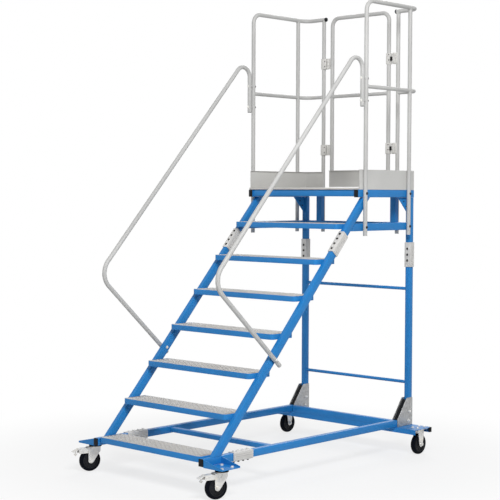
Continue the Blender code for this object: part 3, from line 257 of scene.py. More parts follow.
aluminium_dirt_and_shade = extruded_aluminium("aluminium_dirt_and_shade", colour=DIRT_AND_SHADE_ALUMINIUM)
aluminium_trodden = extruded_aluminium("aluminium_trodden", colour=TRODDEN_ALUMINIUM)
aluminium_along = extruded_aluminium("aluminium_along", (0, 0, pi / 2))
aluminium_upright = extruded_aluminium("aluminium_upright", (0, pi / 2, 0))
aluminium_sloped = extruded_aluminium("aluminium_sloped", (-STAIR_SLOPE, 0, pi / 2))
print("materials so far", len(bpy.data.materials))

# %% [markdown]
# ## Zinc on steel
# Hot-dip galvanising leaves crystals, the spangle. A painted texture would need an image, while a Voronoi
# pattern gives each cell its own grey and fits any piece. The casters and the plain bolts are electroplated
# instead, which is brighter and has only soft clouds.

# %% Galvanised and plated steel
SPANGLE = (0.414, 0.416, 0.414)
PLATE = (0.800, 0.790, 0.765)
WARM_PLATE = (0.800, 0.765, 0.690)


def galvanised_sheet():
    material, tree, shader, place = start_finish("galvanised_sheet", SPANGLE, metallic=0.80)
    clouds = noise(tree, place, scale=60.0, detail=3.0)
    cells = add_node(tree, "ShaderNodeTexVoronoi", {"Vector": place, "Scale": 95.0, "Randomness": 1.0})
    crystal = add_node(tree, "ShaderNodeSeparateColor", {"Color": cells.outputs["Color"]}).outputs["Red"]
    mixed = blend(tree, crystal, clouds, share=0.6)
    stops = ((0.15, shade(SPANGLE, 0.74)), (0.50, SPANGLE), (0.85, shade(SPANGLE, 1.22)))
    surface(tree, shader, colour_ramp(tree, mixed, *stops), spread(tree, mixed, 0.38, 0.56))
    bump(tree, shader, clouds, strength=0.10, distance=0.0003)
    return material


def plated_steel():
    material, tree, shader, place = start_finish("plated_steel", PLATE, metallic=0.35)
    clouds = noise(tree, place, scale=38.0, detail=5.0, rough=0.6)
    tones = colour_ramp(tree, clouds, (0.30, shade(PLATE, 0.82)), (0.52, PLATE), (0.72, WARM_PLATE))
    surface(tree, shader, tones, spread(tree, clouds, 0.24, 0.42))
    bump(tree, shader, noise(tree, place, scale=700.0), strength=0.12, distance=0.0002)
    return material


galvanised = galvanised_sheet()
plated = plated_steel()
print("zinc finishes", galvanised.name, plated.name)

# %% [markdown]
# ## Cast alloy and blackened steel
# The blocks and bars of the gate are cast and keep the grain of the sand mould. The bolts of the sleeves
# and guards are blackened and rubbed bright in places. Both could be images, but one noise with three tones
# has no seams. Its bump is deep for the grain and shallow for the rubbing.

# %% Cast alloy and blackened steel
BLACKENED = (0.060, 0.055, 0.050)
BLACKENED_DEEP = (0.022, 0.020, 0.019)
BLACKENED_RUBBED = (0.150, 0.140, 0.130)


def cast_alloy():
    material, tree, shader, place = start_finish("cast_alloy", PLATE, metallic=0.20)
    sand = noise(tree, place, scale=260.0, detail=4.0, rough=0.7)
    stops = ((0.36, shade(PLATE, 0.48)), (0.47, shade(PLATE, 0.80)), (0.64, shade(PLATE, 0.93)))
    surface(tree, shader, colour_ramp(tree, sand, *stops), spread(tree, sand, 0.40, 0.62))
    bump(tree, shader, sand, strength=0.35, distance=0.0005)
    return material


def blackened_steel():
    material, tree, shader, place = start_finish("blackened_steel", BLACKENED, metallic=0.6)
    rubbed = noise(tree, place, scale=90.0, detail=5.0, rough=0.6)
    tones = colour_ramp(tree, rubbed, (0.35, BLACKENED_DEEP), (0.60, BLACKENED), (0.78, BLACKENED_RUBBED))
    surface(tree, shader, tones, spread(tree, rubbed, 0.36, 0.52))
    bump(tree, shader, rubbed, strength=0.10, distance=0.0002)
    return material


alloy = cast_alloy()
blackened = blackened_steel()
print("gate and bolt finishes", alloy.name, blackened.name)

# %% [markdown]
# ## Rubber and plastic
# The wheels are matt black rubber with a little pale dust, and the end caps are moulded plastic with a fine
# grain. A plain black would swallow the round forms, so both have a range of tones, of roughness and a fine
# bump.

# %% Rubber and plastic
RUBBER = (0.0040, 0.0052, 0.0090)
DUST = (0.009, 0.010, 0.014)
CAP_PLASTIC = (0.0060, 0.0068, 0.0085)
HUB_PLASTIC = (0.012, 0.013, 0.016)


def dusty_rubber():
    material, tree, shader, place = start_finish("wheel_rubber", RUBBER, specular=0.05)
    dust = noise(tree, place, scale=46.0, detail=8.0, rough=0.68)
    tones = colour_ramp(tree, dust, (0.40, shade(RUBBER, 0.8)), (0.60, RUBBER), (0.82, DUST))
    surface(tree, shader, tones, spread(tree, dust, 0.52, 0.78))
    bump(tree, shader, noise(tree, place, scale=900.0, detail=3.0), strength=0.25, distance=0.0003)
    return material


def moulded_plastic(name, colour):
    material, tree, shader, place = start_finish(name, colour, specular=0.15)
    grain = add_node(tree, "ShaderNodeTexVoronoi", {"Vector": place, "Scale": 1300.0}).outputs["Distance"]
    clouds = noise(tree, place, scale=25.0, detail=4.0)
    tones = colour_ramp(tree, clouds, (0.30, shade(colour, 0.8)), (0.70, shade(colour, 1.3)))
    surface(tree, shader, tones, spread(tree, clouds, 0.40, 0.56))
    bump(tree, shader, grain, strength=0.20, distance=0.0002)
    return material


rubber = dusty_rubber()
black_plastic = moulded_plastic("cap_plastic", CAP_PLASTIC)
hub_plastic = moulded_plastic("hub_plastic", HUB_PLASTIC)
print("black finishes", rubber.name, black_plastic.name, hub_plastic.name)

# %% [markdown]
# ## Dress the CAD nodes
# Each node of the frame gets the finish of the real piece, and the finer copies that come later take theirs
# from the same table. It could name all sixty nodes, but the nodes are named for what they are, so the
# beginnings of their names are enough. What the table doesn't name is blue.

# %% Finishes for the nodes
NODE_FINISHES = {
    "base_sleeve": aluminium_along, "post_sleeve": aluminium_upright, "stringer_sleeve": aluminium_sloped,
    "platform_deck": aluminium_trodden, "foot_bracket": galvanised, "guard": grey_coat,
    "toe_board": board_coat_painted_light, "handrail": grey_coat, "gate_latch": alloy, "gate_toe_board": board_coat_painted_light,
    "gate": grey_coat, "caster_plate": plated, "front_fork": plated, "rear_fork": plated,
    "brake_pedal": plated, "front_wheel": rubber, "rear_wheel": rubber,
}


def node_finish(name):
    return next((finish for start, finish in NODE_FINISHES.items() if name.startswith(start)), blue_coat)


for node_name, node in frame["nodes"].items():
    for material_slot in node.material_slots:
        material_slot.material = node_finish(node_name)
print("dressed nodes", len(frame["nodes"]))

# %% [markdown]
# ## Making a piece
# Each new piece is built in a bmesh at its real place, then becomes an object that rides on a body of the
# frame. The operators of the interface could add and scale objects instead, but they need a selection and
# leave the place on the object, where the frame wants it in the mesh. Edges sharper than a limit stay crisp
# and the others are shaded smooth, so round tubes look round with few faces.

# %% Piece helpers
def add_piece(name, bm, finish, body="frame", crease=35.0):
    """Turns a bmesh into a piece that rides on a body of the frame."""
    bmesh.ops.recalc_face_normals(bm, faces=bm.faces)
    mesh = bpy.data.meshes.new(name)
    bm.to_mesh(mesh)
    bm.free()
    mesh.shade_smooth()
    mesh.set_sharp_from_angle(angle=radians(crease))
    mesh.materials.append(finish)
    made = bpy.data.objects.new(name, mesh)
    bpy.context.scene.collection.objects.link(made)
    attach(made, body)
    return made


def report(*pieces):
    print(", ".join(f"{piece.name} {len(piece.data.polygons)} faces" for piece in pieces))


def edges_of(verts):
    return list(dict.fromkeys(edge for vert in verts for edge in vert.link_edges))


def faces_of(verts):
    return list(dict.fromkeys(face for vert in verts for face in vert.link_faces))


def new_edges(geometry):
    return [item for item in geometry if isinstance(item, bmesh.types.BMEdge)]


def aim(point, outward):
    """A matrix that stands at a point with its Z along a direction."""
    turn = Vector(outward).to_track_quat("Z", "Y").to_matrix().to_4x4()
    return Matrix.Translation(point) @ turn


print("Z of something aimed along X", [round(value, 3) for value in aim((0, 0, 0), (1, 0, 0)).col[2]])

# %% [markdown]
# ## Round tubes
# Guards, gate and handrails are round tube, bent cold. A curve with a round bevel could make them, but
# welds and cut ends need a mesh. So a circle is drawn along its way: a straight run is one extrusion, and a
# bend is a spin of the rim about the centre of the bend. That follows the bender's work, and it needs no
# points of its own.

# %% Tube sweep
BEND_STEP = 0.13


def extrude_rim(bm, rim, offset):
    """Extrudes a rim of edges and moves the new rim."""
    grown = bmesh.ops.extrude_edge_only(bm, edges=rim)["geom"]
    verts = [item for item in grown if isinstance(item, bmesh.types.BMVert)]
    bmesh.ops.translate(bm, vec=offset, verts=verts)
    return [edge for edge in new_edges(grown) if set(verts).issuperset(edge.verts)]


def bend_steps(turn):
    return max(4, round(turn / BEND_STEP))


def sweep_tube(bm, corners, bends, radius, sides=20):
    """A closed tube through corners, with a bend radius at each inner one."""
    corners = [Vector(corner) for corner in corners]
    way = (corners[1] - corners[0]).normalized()
    start = aim(corners[0], way)
    ring = bmesh.ops.create_circle(bm, cap_ends=True, segments=sides, radius=radius, matrix=start)
    rim = edges_of(ring["verts"])
    reached = corners[0]
    for corner, after, bend in zip(corners[1:], corners[2:], bends):
        onward = (after - corner).normalized()
        turn = way.angle(onward)
        back = bend * tan(turn / 2)
        rim = extrude_rim(bm, rim, corner - way * back - reached)
        axis = way.cross(onward).normalized()
        centre = corner - way * back + axis.cross(way) * bend
        spun = bmesh.ops.spin(bm, geom=rim, cent=centre, axis=axis, angle=turn, steps=bend_steps(turn))
        rim = new_edges(spun["geom_last"])
        way, reached = onward, corner + onward * back
    rim = extrude_rim(bm, rim, corners[-1] - reached)
    bmesh.ops.contextual_create(bm, geom=rim)


def weld_ring(bm, centre, axis, radius, bead=0.0022):
    """A weld bead round a tube: a small circle spun about the axis of the tube."""
    side = Matrix.Translation((radius, 0, 0)) @ Matrix.Rotation(pi / 2, 4, "X")
    dot = bmesh.ops.create_circle(bm, segments=6, radius=bead, matrix=aim(centre, axis) @ side)
    rim = edges_of(dot["verts"])
    bmesh.ops.spin(bm, geom=rim, cent=centre, axis=Vector(axis), angle=2 * pi, steps=20, use_merge=True)


print("a quarter bend has", bend_steps(pi / 2), "steps")

# %% [markdown]
# ## Guards
# Each guard is a hoop: the front post bends into the top rail, which bends round the rear corner to a short
# return. A lower rail follows it, and two more posts are welded below. The posts run down past the platform
# and are bolted to its side rails. The tubes could be joined with booleans, but in a real weld they only
# meet and a bead covers the joint, so each tube is swept by itself and gets its beads.

# %% Guard tubes
RAIL_RADIUS = 0.0125
GUARD_POST_RADIUS = 0.0121
MID_RAIL_RADIUS = 0.0115
GUARD_X = 0.4483
GUARD_FRONT_Y = 0.43015
GUARD_POST_Y = 0.85315
GUARD_REAR_Y = 0.93595
GUARD_FOOT_Z = 1.3300
GUARD_MID_Z = 2.2000
GUARD_TOP_Z = 2.6975
GUARD_BEND = 0.060
RETURN_X = 0.2980
RETURN_END_X = 0.2815
WELD_GAP = 0.001
SIDES = {"left": -1, "right": 1}


def guard_hoop(side):
    """The tubes of one guard with their weld beads."""
    bm = bmesh.new()
    x, rear_x = side * GUARD_X, side * RETURN_X
    top = [(x, GUARD_FRONT_Y, GUARD_FOOT_Z), (x, GUARD_FRONT_Y, GUARD_TOP_Z), (x, GUARD_REAR_Y, GUARD_TOP_Z),
           (side * RETURN_END_X, GUARD_REAR_Y, GUARD_TOP_Z)]
    sweep_tube(bm, top, (GUARD_BEND, GUARD_BEND), RAIL_RADIUS)
    middle = [(x, GUARD_FRONT_Y, GUARD_MID_Z), (x, GUARD_REAR_Y, GUARD_MID_Z),
              (rear_x, GUARD_REAR_Y, GUARD_MID_Z)]
    sweep_tube(bm, middle, (GUARD_BEND,), MID_RAIL_RADIUS)
    for post in ((x, GUARD_POST_Y), (rear_x, GUARD_REAR_Y)):
        sweep_tube(bm, [(*post, GUARD_FOOT_Z), (*post, GUARD_TOP_Z)], (), GUARD_POST_RADIUS)
        weld_ring(bm, (*post, GUARD_TOP_Z - RAIL_RADIUS - WELD_GAP), (0, 0, 1), GUARD_POST_RADIUS)
    post_side = GUARD_POST_RADIUS + WELD_GAP
    for y in (GUARD_FRONT_Y + RAIL_RADIUS + WELD_GAP, GUARD_POST_Y - post_side, GUARD_POST_Y + post_side):
        weld_ring(bm, (x, y, GUARD_MID_Z), (0, 1, 0), MID_RAIL_RADIUS)
    weld_ring(bm, (side * (RETURN_X + post_side), GUARD_REAR_Y, GUARD_MID_Z), (1, 0, 0), MID_RAIL_RADIUS)
    return bm


print("guards from", GUARD_FOOT_Z, "to", GUARD_TOP_Z + RAIL_RADIUS, "m")

# %% [markdown]
# ## Blocks and pins
# Most small parts are a block between two corners or a round bar between two points. They could be scaled
# as objects, but then a pattern on Object coordinates would be stretched with them, so the places go
# straight into the mesh. A bevel takes the sharp edge off each, as a file or a mould does.

# %% Blocks and pins
PIN_CHAMFER = 0.12


def plain_block(bm, low, high):
    """A box between two corners. Gives its points."""
    low, high = Vector(low), Vector(high)
    place, size = Matrix.Translation((low + high) / 2), Matrix.Diagonal((*(high - low), 1.0))
    return bmesh.ops.create_cube(bm, size=1.0, matrix=place @ size)["verts"]


def round_edges(bm, edges, radius, segments):
    return bmesh.ops.bevel(bm, geom=edges, offset=radius, affect="EDGES", segments=segments, profile=0.5,
                           material=-1)


def rounded_block(bm, low, high, radius, segments=2):
    """A box between two corners with its edges rounded."""
    round_edges(bm, edges_of(plain_block(bm, low, high)), radius, segments)


def pin(bm, low, high, radius, sides=20):
    """A round bar between two points, with a small chamfer at each end."""
    low, high = Vector(low), Vector(high)
    place = aim((low + high) / 2, high - low)
    made = bmesh.ops.create_cone(bm, cap_ends=True, segments=sides, radius1=radius, radius2=radius,
                                 depth=(high - low).length, matrix=place)
    ends = [face for face in faces_of(made["verts"]) if len(face.verts) == sides]
    round_edges(bm, [edge for face in ends for edge in face.edges], radius * PIN_CHAMFER, 1)


print("chamfer of a pin", PIN_CHAMFER, "of its radius")

# %% [markdown]
# ## Hinge and latch blocks
# The gate hangs on square blocks that grip the round posts. Each block is two halves with a narrow slit
# between them, held by two screws. The slit could be a groove cut into one block, but two halves give the
# same dark line and need no boolean. On the hinge side flat leaves reach out to round knuckles on one pin.

# %% Hinge blocks
GATE_X = 0.2265
HINGE_X = -0.26225
BLOCK_HEIGHTS = (1.858, 2.412)
BLOCK_TALL = 0.068
BLOCK_HALF = 0.0135
BLOCK_FRONT = GUARD_REAR_Y - BLOCK_HALF
BLOCK_BACK = GUARD_REAR_Y + 0.0165
BLOCK_SLIT = 0.0008
BLOCK_EDGE = 0.0022
HINGE_THIRD = BLOCK_TALL / 3
KNUCKLE_RADIUS = 0.008
KNUCKLE_GAP = 0.0006
PIN_RADIUS = 0.004
PIN_HALF = 0.030
LEAF_HALF = 0.0025
LEAF_TRIM = 0.001
LEAF_EDGE = 0.0008


def split_block(bm, near, far, z):
    """Two half blocks round a post, with a narrow slit between them."""
    low, high = z - BLOCK_TALL / 2, z + BLOCK_TALL / 2
    for front, back in ((BLOCK_FRONT, GUARD_REAR_Y - BLOCK_SLIT), (GUARD_REAR_Y + BLOCK_SLIT, BLOCK_BACK)):
        rounded_block(bm, (near, front, low), (far, back, high), BLOCK_EDGE, 3)


def knuckle(bm, near, far, low, high):
    """One knuckle of a hinge, with the flat leaf that carries it."""
    leaf_low = (near, GUARD_REAR_Y - LEAF_HALF, low + LEAF_TRIM)
    leaf_high = (far, GUARD_REAR_Y + LEAF_HALF, high - LEAF_TRIM)
    rounded_block(bm, leaf_low, leaf_high, LEAF_EDGE)
    pin(bm, (HINGE_X, GUARD_REAR_Y, low), (HINGE_X, GUARD_REAR_Y, high), KNUCKLE_RADIUS)


def hinge_block(bm, z):
    """Block, leaves, outer knuckles and pin of one hinge on the left return post."""
    split_block(bm, -RETURN_X - BLOCK_HALF, HINGE_X - KNUCKLE_RADIUS - KNUCKLE_GAP, z)
    for low in (z - BLOCK_TALL / 2, z + HINGE_THIRD / 2):
        knuckle(bm, -RETURN_X, HINGE_X, low, low + HINGE_THIRD)
    pin(bm, (HINGE_X, GUARD_REAR_Y, z - PIN_HALF), (HINGE_X, GUARD_REAR_Y, z + PIN_HALF), PIN_RADIUS)


print("hinges at", BLOCK_HEIGHTS, "m")

# %% [markdown]
# On the latch side a drop bar turns on a stud and falls across the keeper block of the gate. The bar comes
# from the frame, because it moves by itself, and only its stud and washer are made here, where its joint
# says.

# %% Latch blocks and screws
LATCH_X = JOINTS["latch_turn_lower"]["pos_m"][0]
LATCH_INNER_X = RETURN_X - 0.036
LATCH_OUTER_X = RETURN_X + 0.003
STUD_DROP = 0.024
STUD_SUNK = 0.003
STUD_PROUD = 0.0080
STUD_WASHER_PROUD = 0.0012
STUD_WASHER_RADIUS = 0.0075
SCREW_RISE = 0.016
SCREW_SUNK = 0.002
SCREW_PROUD = 0.0016
SCREW_RADIUS = 0.0036


def latch_block(bm, z):
    """Block on the right return post with the washer and stud of the drop bar."""
    split_block(bm, LATCH_INNER_X, LATCH_OUTER_X, z)
    height = z - STUD_DROP
    for proud, radius in ((STUD_WASHER_PROUD, STUD_WASHER_RADIUS), (STUD_PROUD, PIN_RADIUS)):
        pin(bm, (LATCH_X, BLOCK_FRONT + STUD_SUNK, height), (LATCH_X, BLOCK_FRONT - proud, height), radius)


def block_screws(bm, x, z):
    """Two socket screws in the front of a block and their nuts behind it."""
    for height in (z - SCREW_RISE, z + SCREW_RISE):
        for y, way in ((BLOCK_FRONT, -1), (BLOCK_BACK, 1)):
            pin(bm, (x, y - way * SCREW_SUNK, height), (x, y + way * SCREW_PROUD, height), SCREW_RADIUS, 16)


print("latch studs at x", round(LATCH_X, 4), "m")

# %% [markdown]
# Now both guards are put together. Tubes, blocks and screws could share one mesh, but each has a finish of
# its own, and a piece with one finish is easier to change later.

# %% Guards with their blocks
HINGE_SCREW_X = -RETURN_X + 0.0185
LATCH_SCREW_X = RETURN_X - 0.0285
LATCH_SCREW_LIFT = 0.008

for name, side in SIDES.items():
    guard = add_piece(f"guard_tubes_{name}", guard_hoop(side), grey_coat)
    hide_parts(f"guard_{name}")
    bm, screws = bmesh.new(), bmesh.new()
    for z in BLOCK_HEIGHTS:
        if side < 0:
            hinge_block(bm, z)
            block_screws(screws, HINGE_SCREW_X, z)
        else:
            latch_block(bm, z)
            block_screws(screws, LATCH_SCREW_X, z + LATCH_SCREW_LIFT)
    blocks = add_piece(f"guard_blocks_{name}", bm, alloy)
    report(guard, blocks, add_piece(f"guard_block_screws_{name}", screws, blackened))

# %% [markdown]
# ## Gate
# The gate is an inverted U of the same tube with one lower rail, so it is swept as the guards are. Its
# board is folded sheet, which the frame already has and which gets its soft edges later.

# %% Gate tubes
GATE_FOOT_Z = 1.620
GATE_BEND = 0.050

bm = bmesh.new()
hoop = ((-GATE_X, GATE_FOOT_Z), (-GATE_X, GUARD_TOP_Z), (GATE_X, GUARD_TOP_Z), (GATE_X, GATE_FOOT_Z))
sweep_tube(bm, [(x, GUARD_REAR_Y, z) for x, z in hoop], (GATE_BEND, GATE_BEND), RAIL_RADIUS)
sweep_tube(bm, [(x, GUARD_REAR_Y, GUARD_MID_Z) for x in (-GATE_X, GATE_X)], (), MID_RAIL_RADIUS)
for side in SIDES.values():
    weld = (side * (GATE_X - RAIL_RADIUS - WELD_GAP), GUARD_REAR_Y, GUARD_MID_Z)
    weld_ring(bm, weld, (1, 0, 0), MID_RAIL_RADIUS)
gate = add_piece("gate_tubes", bm, grey_coat, "gate")
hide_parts("gate_frame")
report(gate)

# %% [markdown]
# The gate carries the middle knuckles of the hinges, each on a plate that is welded to its tube, and the
# keeper blocks. Small black blocks on the keeper blocks fill the gap beside them as painted shade. All of
# them ride on the gate and swing with it.

# %% Gate blocks and painted gap shade
GATE_SCREW_X = GATE_X + 0.0090
LEAF_ROOT_X = HINGE_X + 0.006
PLATE_ROOT_X = HINGE_X + 0.0095
PLATE_HALF = 0.0072
PLATE_EDGE = 0.0016
GAP_SHADE_INNER_X = GATE_X + 0.0130
GAP_SHADE_OUTER_X = GATE_X + 0.0235
GAP_SHADE_HALF_DEEP = 0.006
GAP_SHADE_HALF_TALL = 0.013
GAP_SHADE_EDGE = 0.003

blocks, screws, gate_gap_shades = bmesh.new(), bmesh.new(), bmesh.new()
half = HINGE_THIRD / 2 - KNUCKLE_GAP
for z in BLOCK_HEIGHTS:
    split_block(blocks, GATE_X - BLOCK_HALF, GATE_X + BLOCK_HALF, z)
    block_screws(screws, GATE_SCREW_X, z + LATCH_SCREW_LIFT)
    knuckle(blocks, LEAF_ROOT_X, -GATE_X, z - half, z + half)
    rounded_block(blocks, (PLATE_ROOT_X, GUARD_REAR_Y - PLATE_HALF, z - BLOCK_TALL / 2),
                  (-GATE_X, GUARD_REAR_Y + PLATE_HALF, z + BLOCK_TALL / 2), PLATE_EDGE)
    # Painted shade: a small black block in the gap beside each keeper block.
    rounded_block(gate_gap_shades, (GAP_SHADE_INNER_X, GUARD_REAR_Y - GAP_SHADE_HALF_DEEP, z - GAP_SHADE_HALF_TALL),
                  (GAP_SHADE_OUTER_X, GUARD_REAR_Y + GAP_SHADE_HALF_DEEP, z + GAP_SHADE_HALF_TALL), GAP_SHADE_EDGE, 3)
report(add_piece("gate_blocks", blocks, alloy, "gate"),
       add_piece("gate_block_screws", screws, blackened, "gate"),
       add_piece("gate_gap_shade", gate_gap_shades, black_plastic, "gate"))

# %% [markdown]
# ## Handrails
# Each handrail runs beside the stair at hand height. At the top it bends over and down, and is bolted
# beside the guard post. At the bottom it turns back under itself, passes the outside of the stringer and is
# bolted through it. Its corners could be typed in, but worked out from the slope of the stair they keep the
# rail parallel to the steps.

# %% Handrail corners
FOOTPRINT_MIDDLE = 1.05605
STEP_ONE_Y = STEP_RUN - FOOTPRINT_MIDDLE
STEP_ONE_Z = 0.2105
STRINGER_SETBACK = 0.1006
HANDRAIL_HEIGHT = 0.862
HANDRAIL_Y = 0.39515
HANDRAIL_TAIL = 0.215
HANDRAIL_LEAD = 0.040
HANDRAIL_RETURN = radians(42.5)
HANDRAIL_END = 0.052
BEND_TOP = 0.060
BEND_FOOT = 0.100
SPACER_SHARES = (0.15, 0.75)

climb, drop = tan(STAIR_SLOPE), tan(HANDRAIL_RETURN)
rail_top = Vector((0, HANDRAIL_Y, STEP_ONE_Z + HANDRAIL_HEIGHT + (HANDRAIL_Y - STEP_ONE_Y) * climb))
rail_foot = Vector((0, STEP_ONE_Y + HANDRAIL_LEAD, STEP_ONE_Z + HANDRAIL_HEIGHT + HANDRAIL_LEAD * climb))
fall = rail_foot.z - STEP_ONE_Z - (HANDRAIL_LEAD - STRINGER_SETBACK) * climb
rail_bolt = rail_foot + Vector((0, 1, -drop)) * fall / (drop + climb)
rail_end = rail_bolt + Vector((0, cos(HANDRAIL_RETURN), -sin(HANDRAIL_RETURN))) * HANDRAIL_END
bend_end = rail_top.z - BEND_TOP / tan((pi / 2 - STAIR_SLOPE) / 2)
rail_tail = Vector((0, HANDRAIL_Y, bend_end - HANDRAIL_TAIL))
spacer_heights = [rail_tail.z + share * HANDRAIL_TAIL for share in SPACER_SHARES]
print("handrail from", [round(v, 3) for v in rail_end], "to", [round(v, 3) for v in rail_top])

# %% [markdown]
# Both rails are swept through the same four corners, moved to their own side. Two short spacers keep each
# rail clear of the guard post, and are round bars from the one to the other.

# %% Handrails
SPACER_RADIUS = 0.007

for name, side in SIDES.items():
    bm = bmesh.new()
    shift = Vector((side * GUARD_X, 0, 0))
    corners = [corner + shift for corner in (rail_end, rail_foot, rail_top, rail_tail)]
    sweep_tube(bm, corners, (BEND_FOOT, BEND_TOP), RAIL_RADIUS)
    for z in spacer_heights:
        pin(bm, (shift.x, HANDRAIL_Y, z), (shift.x, GUARD_FRONT_Y - RAIL_RADIUS, z), SPACER_RADIUS)
    rail = add_piece(f"handrail_tube_{name}", bm, grey_coat)
    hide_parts(f"handrail_{name}")
    report(rail)

# %% [markdown]
# ## Steps
# A step is a pan folded from one sheet, with a ribbed aluminium plank in it. The pan could be put together
# from plates, but then its thickness would be drawn many times. So a block gets its two front edges
# rounded, its top is taken off, its floor is inset to leave a ledge, and later a Solidify modifier gives
# the sheet its thickness. Four folded stiffeners carry the plank from below.

# %% Step pans
STEP_CORNER = 0.022
STEP_LEDGE = 0.014
STEP_SHEET = 0.003
NOSE_SEGMENTS = 6
TREAD_THICK = 0.006
STIFFENERS_X = (-0.27, -0.09, 0.09, 0.27)
STIFFENER_HALF = 0.015
STIFFENER_GAP = 0.0005
STIFFENER_DROP = 0.0002
STIFFENER_EDGE = 0.003
NEAR = 1e-5


def facing(bm, way):
    """The faces that look along a direction."""
    bm.normal_update()
    return [face for face in bm.faces if face.normal.dot(Vector(way)) > 0.9]


def nose_block(bm, low, high, radius):
    """A block whose two upright front edges are rounded."""
    edges = edges_of(plain_block(bm, low, high))
    front = [edge for edge in edges if all(vert.co.y < low.y + NEAR for vert in edge.verts)]
    upright = [edge for edge in front if abs(edge.verts[0].co.z - edge.verts[1].co.z) > NEAR]
    round_edges(bm, upright, radius, NOSE_SEGMENTS)


def step_pan(low, high):
    bm = bmesh.new()
    nose_block(bm, low, high, STEP_CORNER)
    floor = facing(bm, (0, 0, -1))
    bmesh.ops.inset_region(bm, faces=floor, thickness=STEP_LEDGE, use_even_offset=True)
    bmesh.ops.delete(bm, geom=floor + facing(bm, (0, 0, 1)), context="FACES")
    return bm


def step_stiffeners(low, high):
    bm = bmesh.new()
    front, back = low.y + STEP_LEDGE, high.y - STEP_SHEET - STIFFENER_GAP
    foot, top = low.z + STEP_SHEET + STIFFENER_GAP, high.z - TREAD_THICK - STIFFENER_DROP
    for x in STIFFENERS_X:
        rounded_block(bm, (x - STIFFENER_HALF, front, foot), (x + STIFFENER_HALF, back, top), STIFFENER_EDGE)
    return bm


print("stiffeners under a step", len(STIFFENERS_X))

# %% [markdown]
# The plank has rows of short raised teeth for grip, each row half a step along from the last. An Array
# modifier could repeat them, but one Array can't shift every second row. So one tapered tooth is copied
# along the row by a spin with no angle, and the row is copied back in the same way.

# %% Treads
TREAD_ROWS = 10
TREAD_MARGIN = 0.010
TOOTH_STEP = 0.036
TOOTH_LONG = 0.0300
TOOTH_TALL = 0.0022
TOOTH_SUNK = 0.0004
TOOTH_SHARE = 0.66
TOOTH_CREST = (0.93, 0.76, 1.0)
NOSE_DROP = 0.0008
PLANK_EDGE = 0.0004


def geometry_of(verts):
    return [*verts, *edges_of(verts), *faces_of(verts)]


def copy_along(bm, before, offset, copies):
    """Copies all that is new in a mesh along an offset."""
    verts = [vert for vert in bm.verts if vert not in before]
    bmesh.ops.spin(bm, geom=geometry_of(verts), cent=(0, 0, 0), axis=(0, 0, 1), dvec=offset, angle=0.0,
                   steps=copies, use_duplicate=True)


def grip_teeth(bm, low, high, rows):
    """Rows of raised teeth on a plank. One tooth is copied along X, then its row along Y."""
    pitch = (high.y - low.y) / rows
    tall = TOOTH_TALL + TOOTH_SUNK
    count = int((high.x - low.x - TOOTH_LONG - TREAD_MARGIN) / TOOTH_STEP + 0.5)
    start = (low.x + high.x) / 2 - (count - 0.5) * TOOTH_STEP / 2
    size = Matrix.Diagonal((TOOTH_LONG, pitch * TOOTH_SHARE, tall, 1.0))
    for parity in (0, 1):
        before = set(bm.verts)
        spot = Vector((start + parity * TOOTH_STEP / 2, low.y + pitch * (parity + 0.5), high.z - tall / 2))
        tooth = bmesh.ops.create_cube(bm, size=1.0, matrix=Matrix.Translation(spot) @ size)["verts"]
        crest = [vert for vert in tooth if vert.co.z > spot.z]
        bmesh.ops.scale(bm, vec=TOOTH_CREST, space=Matrix.Translation(-spot), verts=crest)
        copy_along(bm, before, (TOOTH_STEP, 0, 0), count - 1)
        copy_along(bm, before, (0, 2 * pitch, 0), (rows + 1 - parity) // 2 - 1)


def tread(low, high):
    """The plank of a tread, and its plain front strip with the teeth behind it."""
    plank, teeth = bmesh.new(), bmesh.new()
    inside = Vector((STEP_SHEET, STEP_SHEET, 0))
    front, back = low + inside, high - inside
    front.z = high.z - TREAD_THICK
    ribbed = Vector((front.x, low.y + STEP_CORNER + STEP_SHEET, front.z))
    rounded_block(plank, ribbed, back - Vector((0, 0, TOOTH_TALL)), PLANK_EDGE, 1)
    nose_block(teeth, front, Vector((back.x, ribbed.y, back.z - NOSE_DROP)), STEP_CORNER - STEP_SHEET)
    grip_teeth(teeth, ribbed, back, TREAD_ROWS)
    return plank, teeth


print("rows of teeth on a tread", TREAD_ROWS)

# %% [markdown]
# All seven steps are made by one loop, from the boxes of their nodes. The sheet and its folds are
# modifiers, which stay easy to change: Solidify grows the sheet inward, and Bevel rounds only the edges
# that are folded sharply.

# %% Seven steps
STEP_COUNT = 7
TREAD_PROUD = 0.002
FOLD_RADIUS = 0.0012
FOLD_ANGLE = 50.0


def soft_edges(piece, width, angle):
    """Rounds every edge of a piece that is sharper than an angle in degrees."""
    bevel = piece.modifiers.new("soft_edges", "BEVEL")
    bevel.width = width
    bevel.segments = 2
    bevel.limit_method = "ANGLE"
    bevel.angle_limit = radians(angle)


for step in range(1, STEP_COUNT + 1):
    low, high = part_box(f"step_{step}")
    bm = step_pan(low, high - Vector((0, 0, TREAD_PROUD)))
    pan = add_piece(f"step_pan_{step}", bm, blue_coat)
    sheet = pan.modifiers.new("sheet", "SOLIDIFY")
    sheet.thickness = STEP_SHEET
    sheet.offset = -1.0
    soft_edges(pan, FOLD_RADIUS, FOLD_ANGLE)
    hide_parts(f"step_{step}")
    stiffeners = add_piece(f"step_stiffeners_{step}", step_stiffeners(low, high), blue_coat)
    plank, teeth = tread(low, high)
    # The plank takes the darker aluminium: dirt with painted shade between the teeth.
    plank = add_piece(f"tread_plank_{step}", plank, aluminium_dirt_and_shade)
    teeth = add_piece(f"tread_teeth_{step}", teeth, aluminium_trodden)
report(pan, stiffeners, plank, teeth)

# %% [markdown]
# ## Deck
# The platform is decked with four planks of the same kind. One wide plank would do for the shape, but
# single planks leave a dark joint between them, as on the real deck. A plain bright strip closes the front
# edge above the beam.

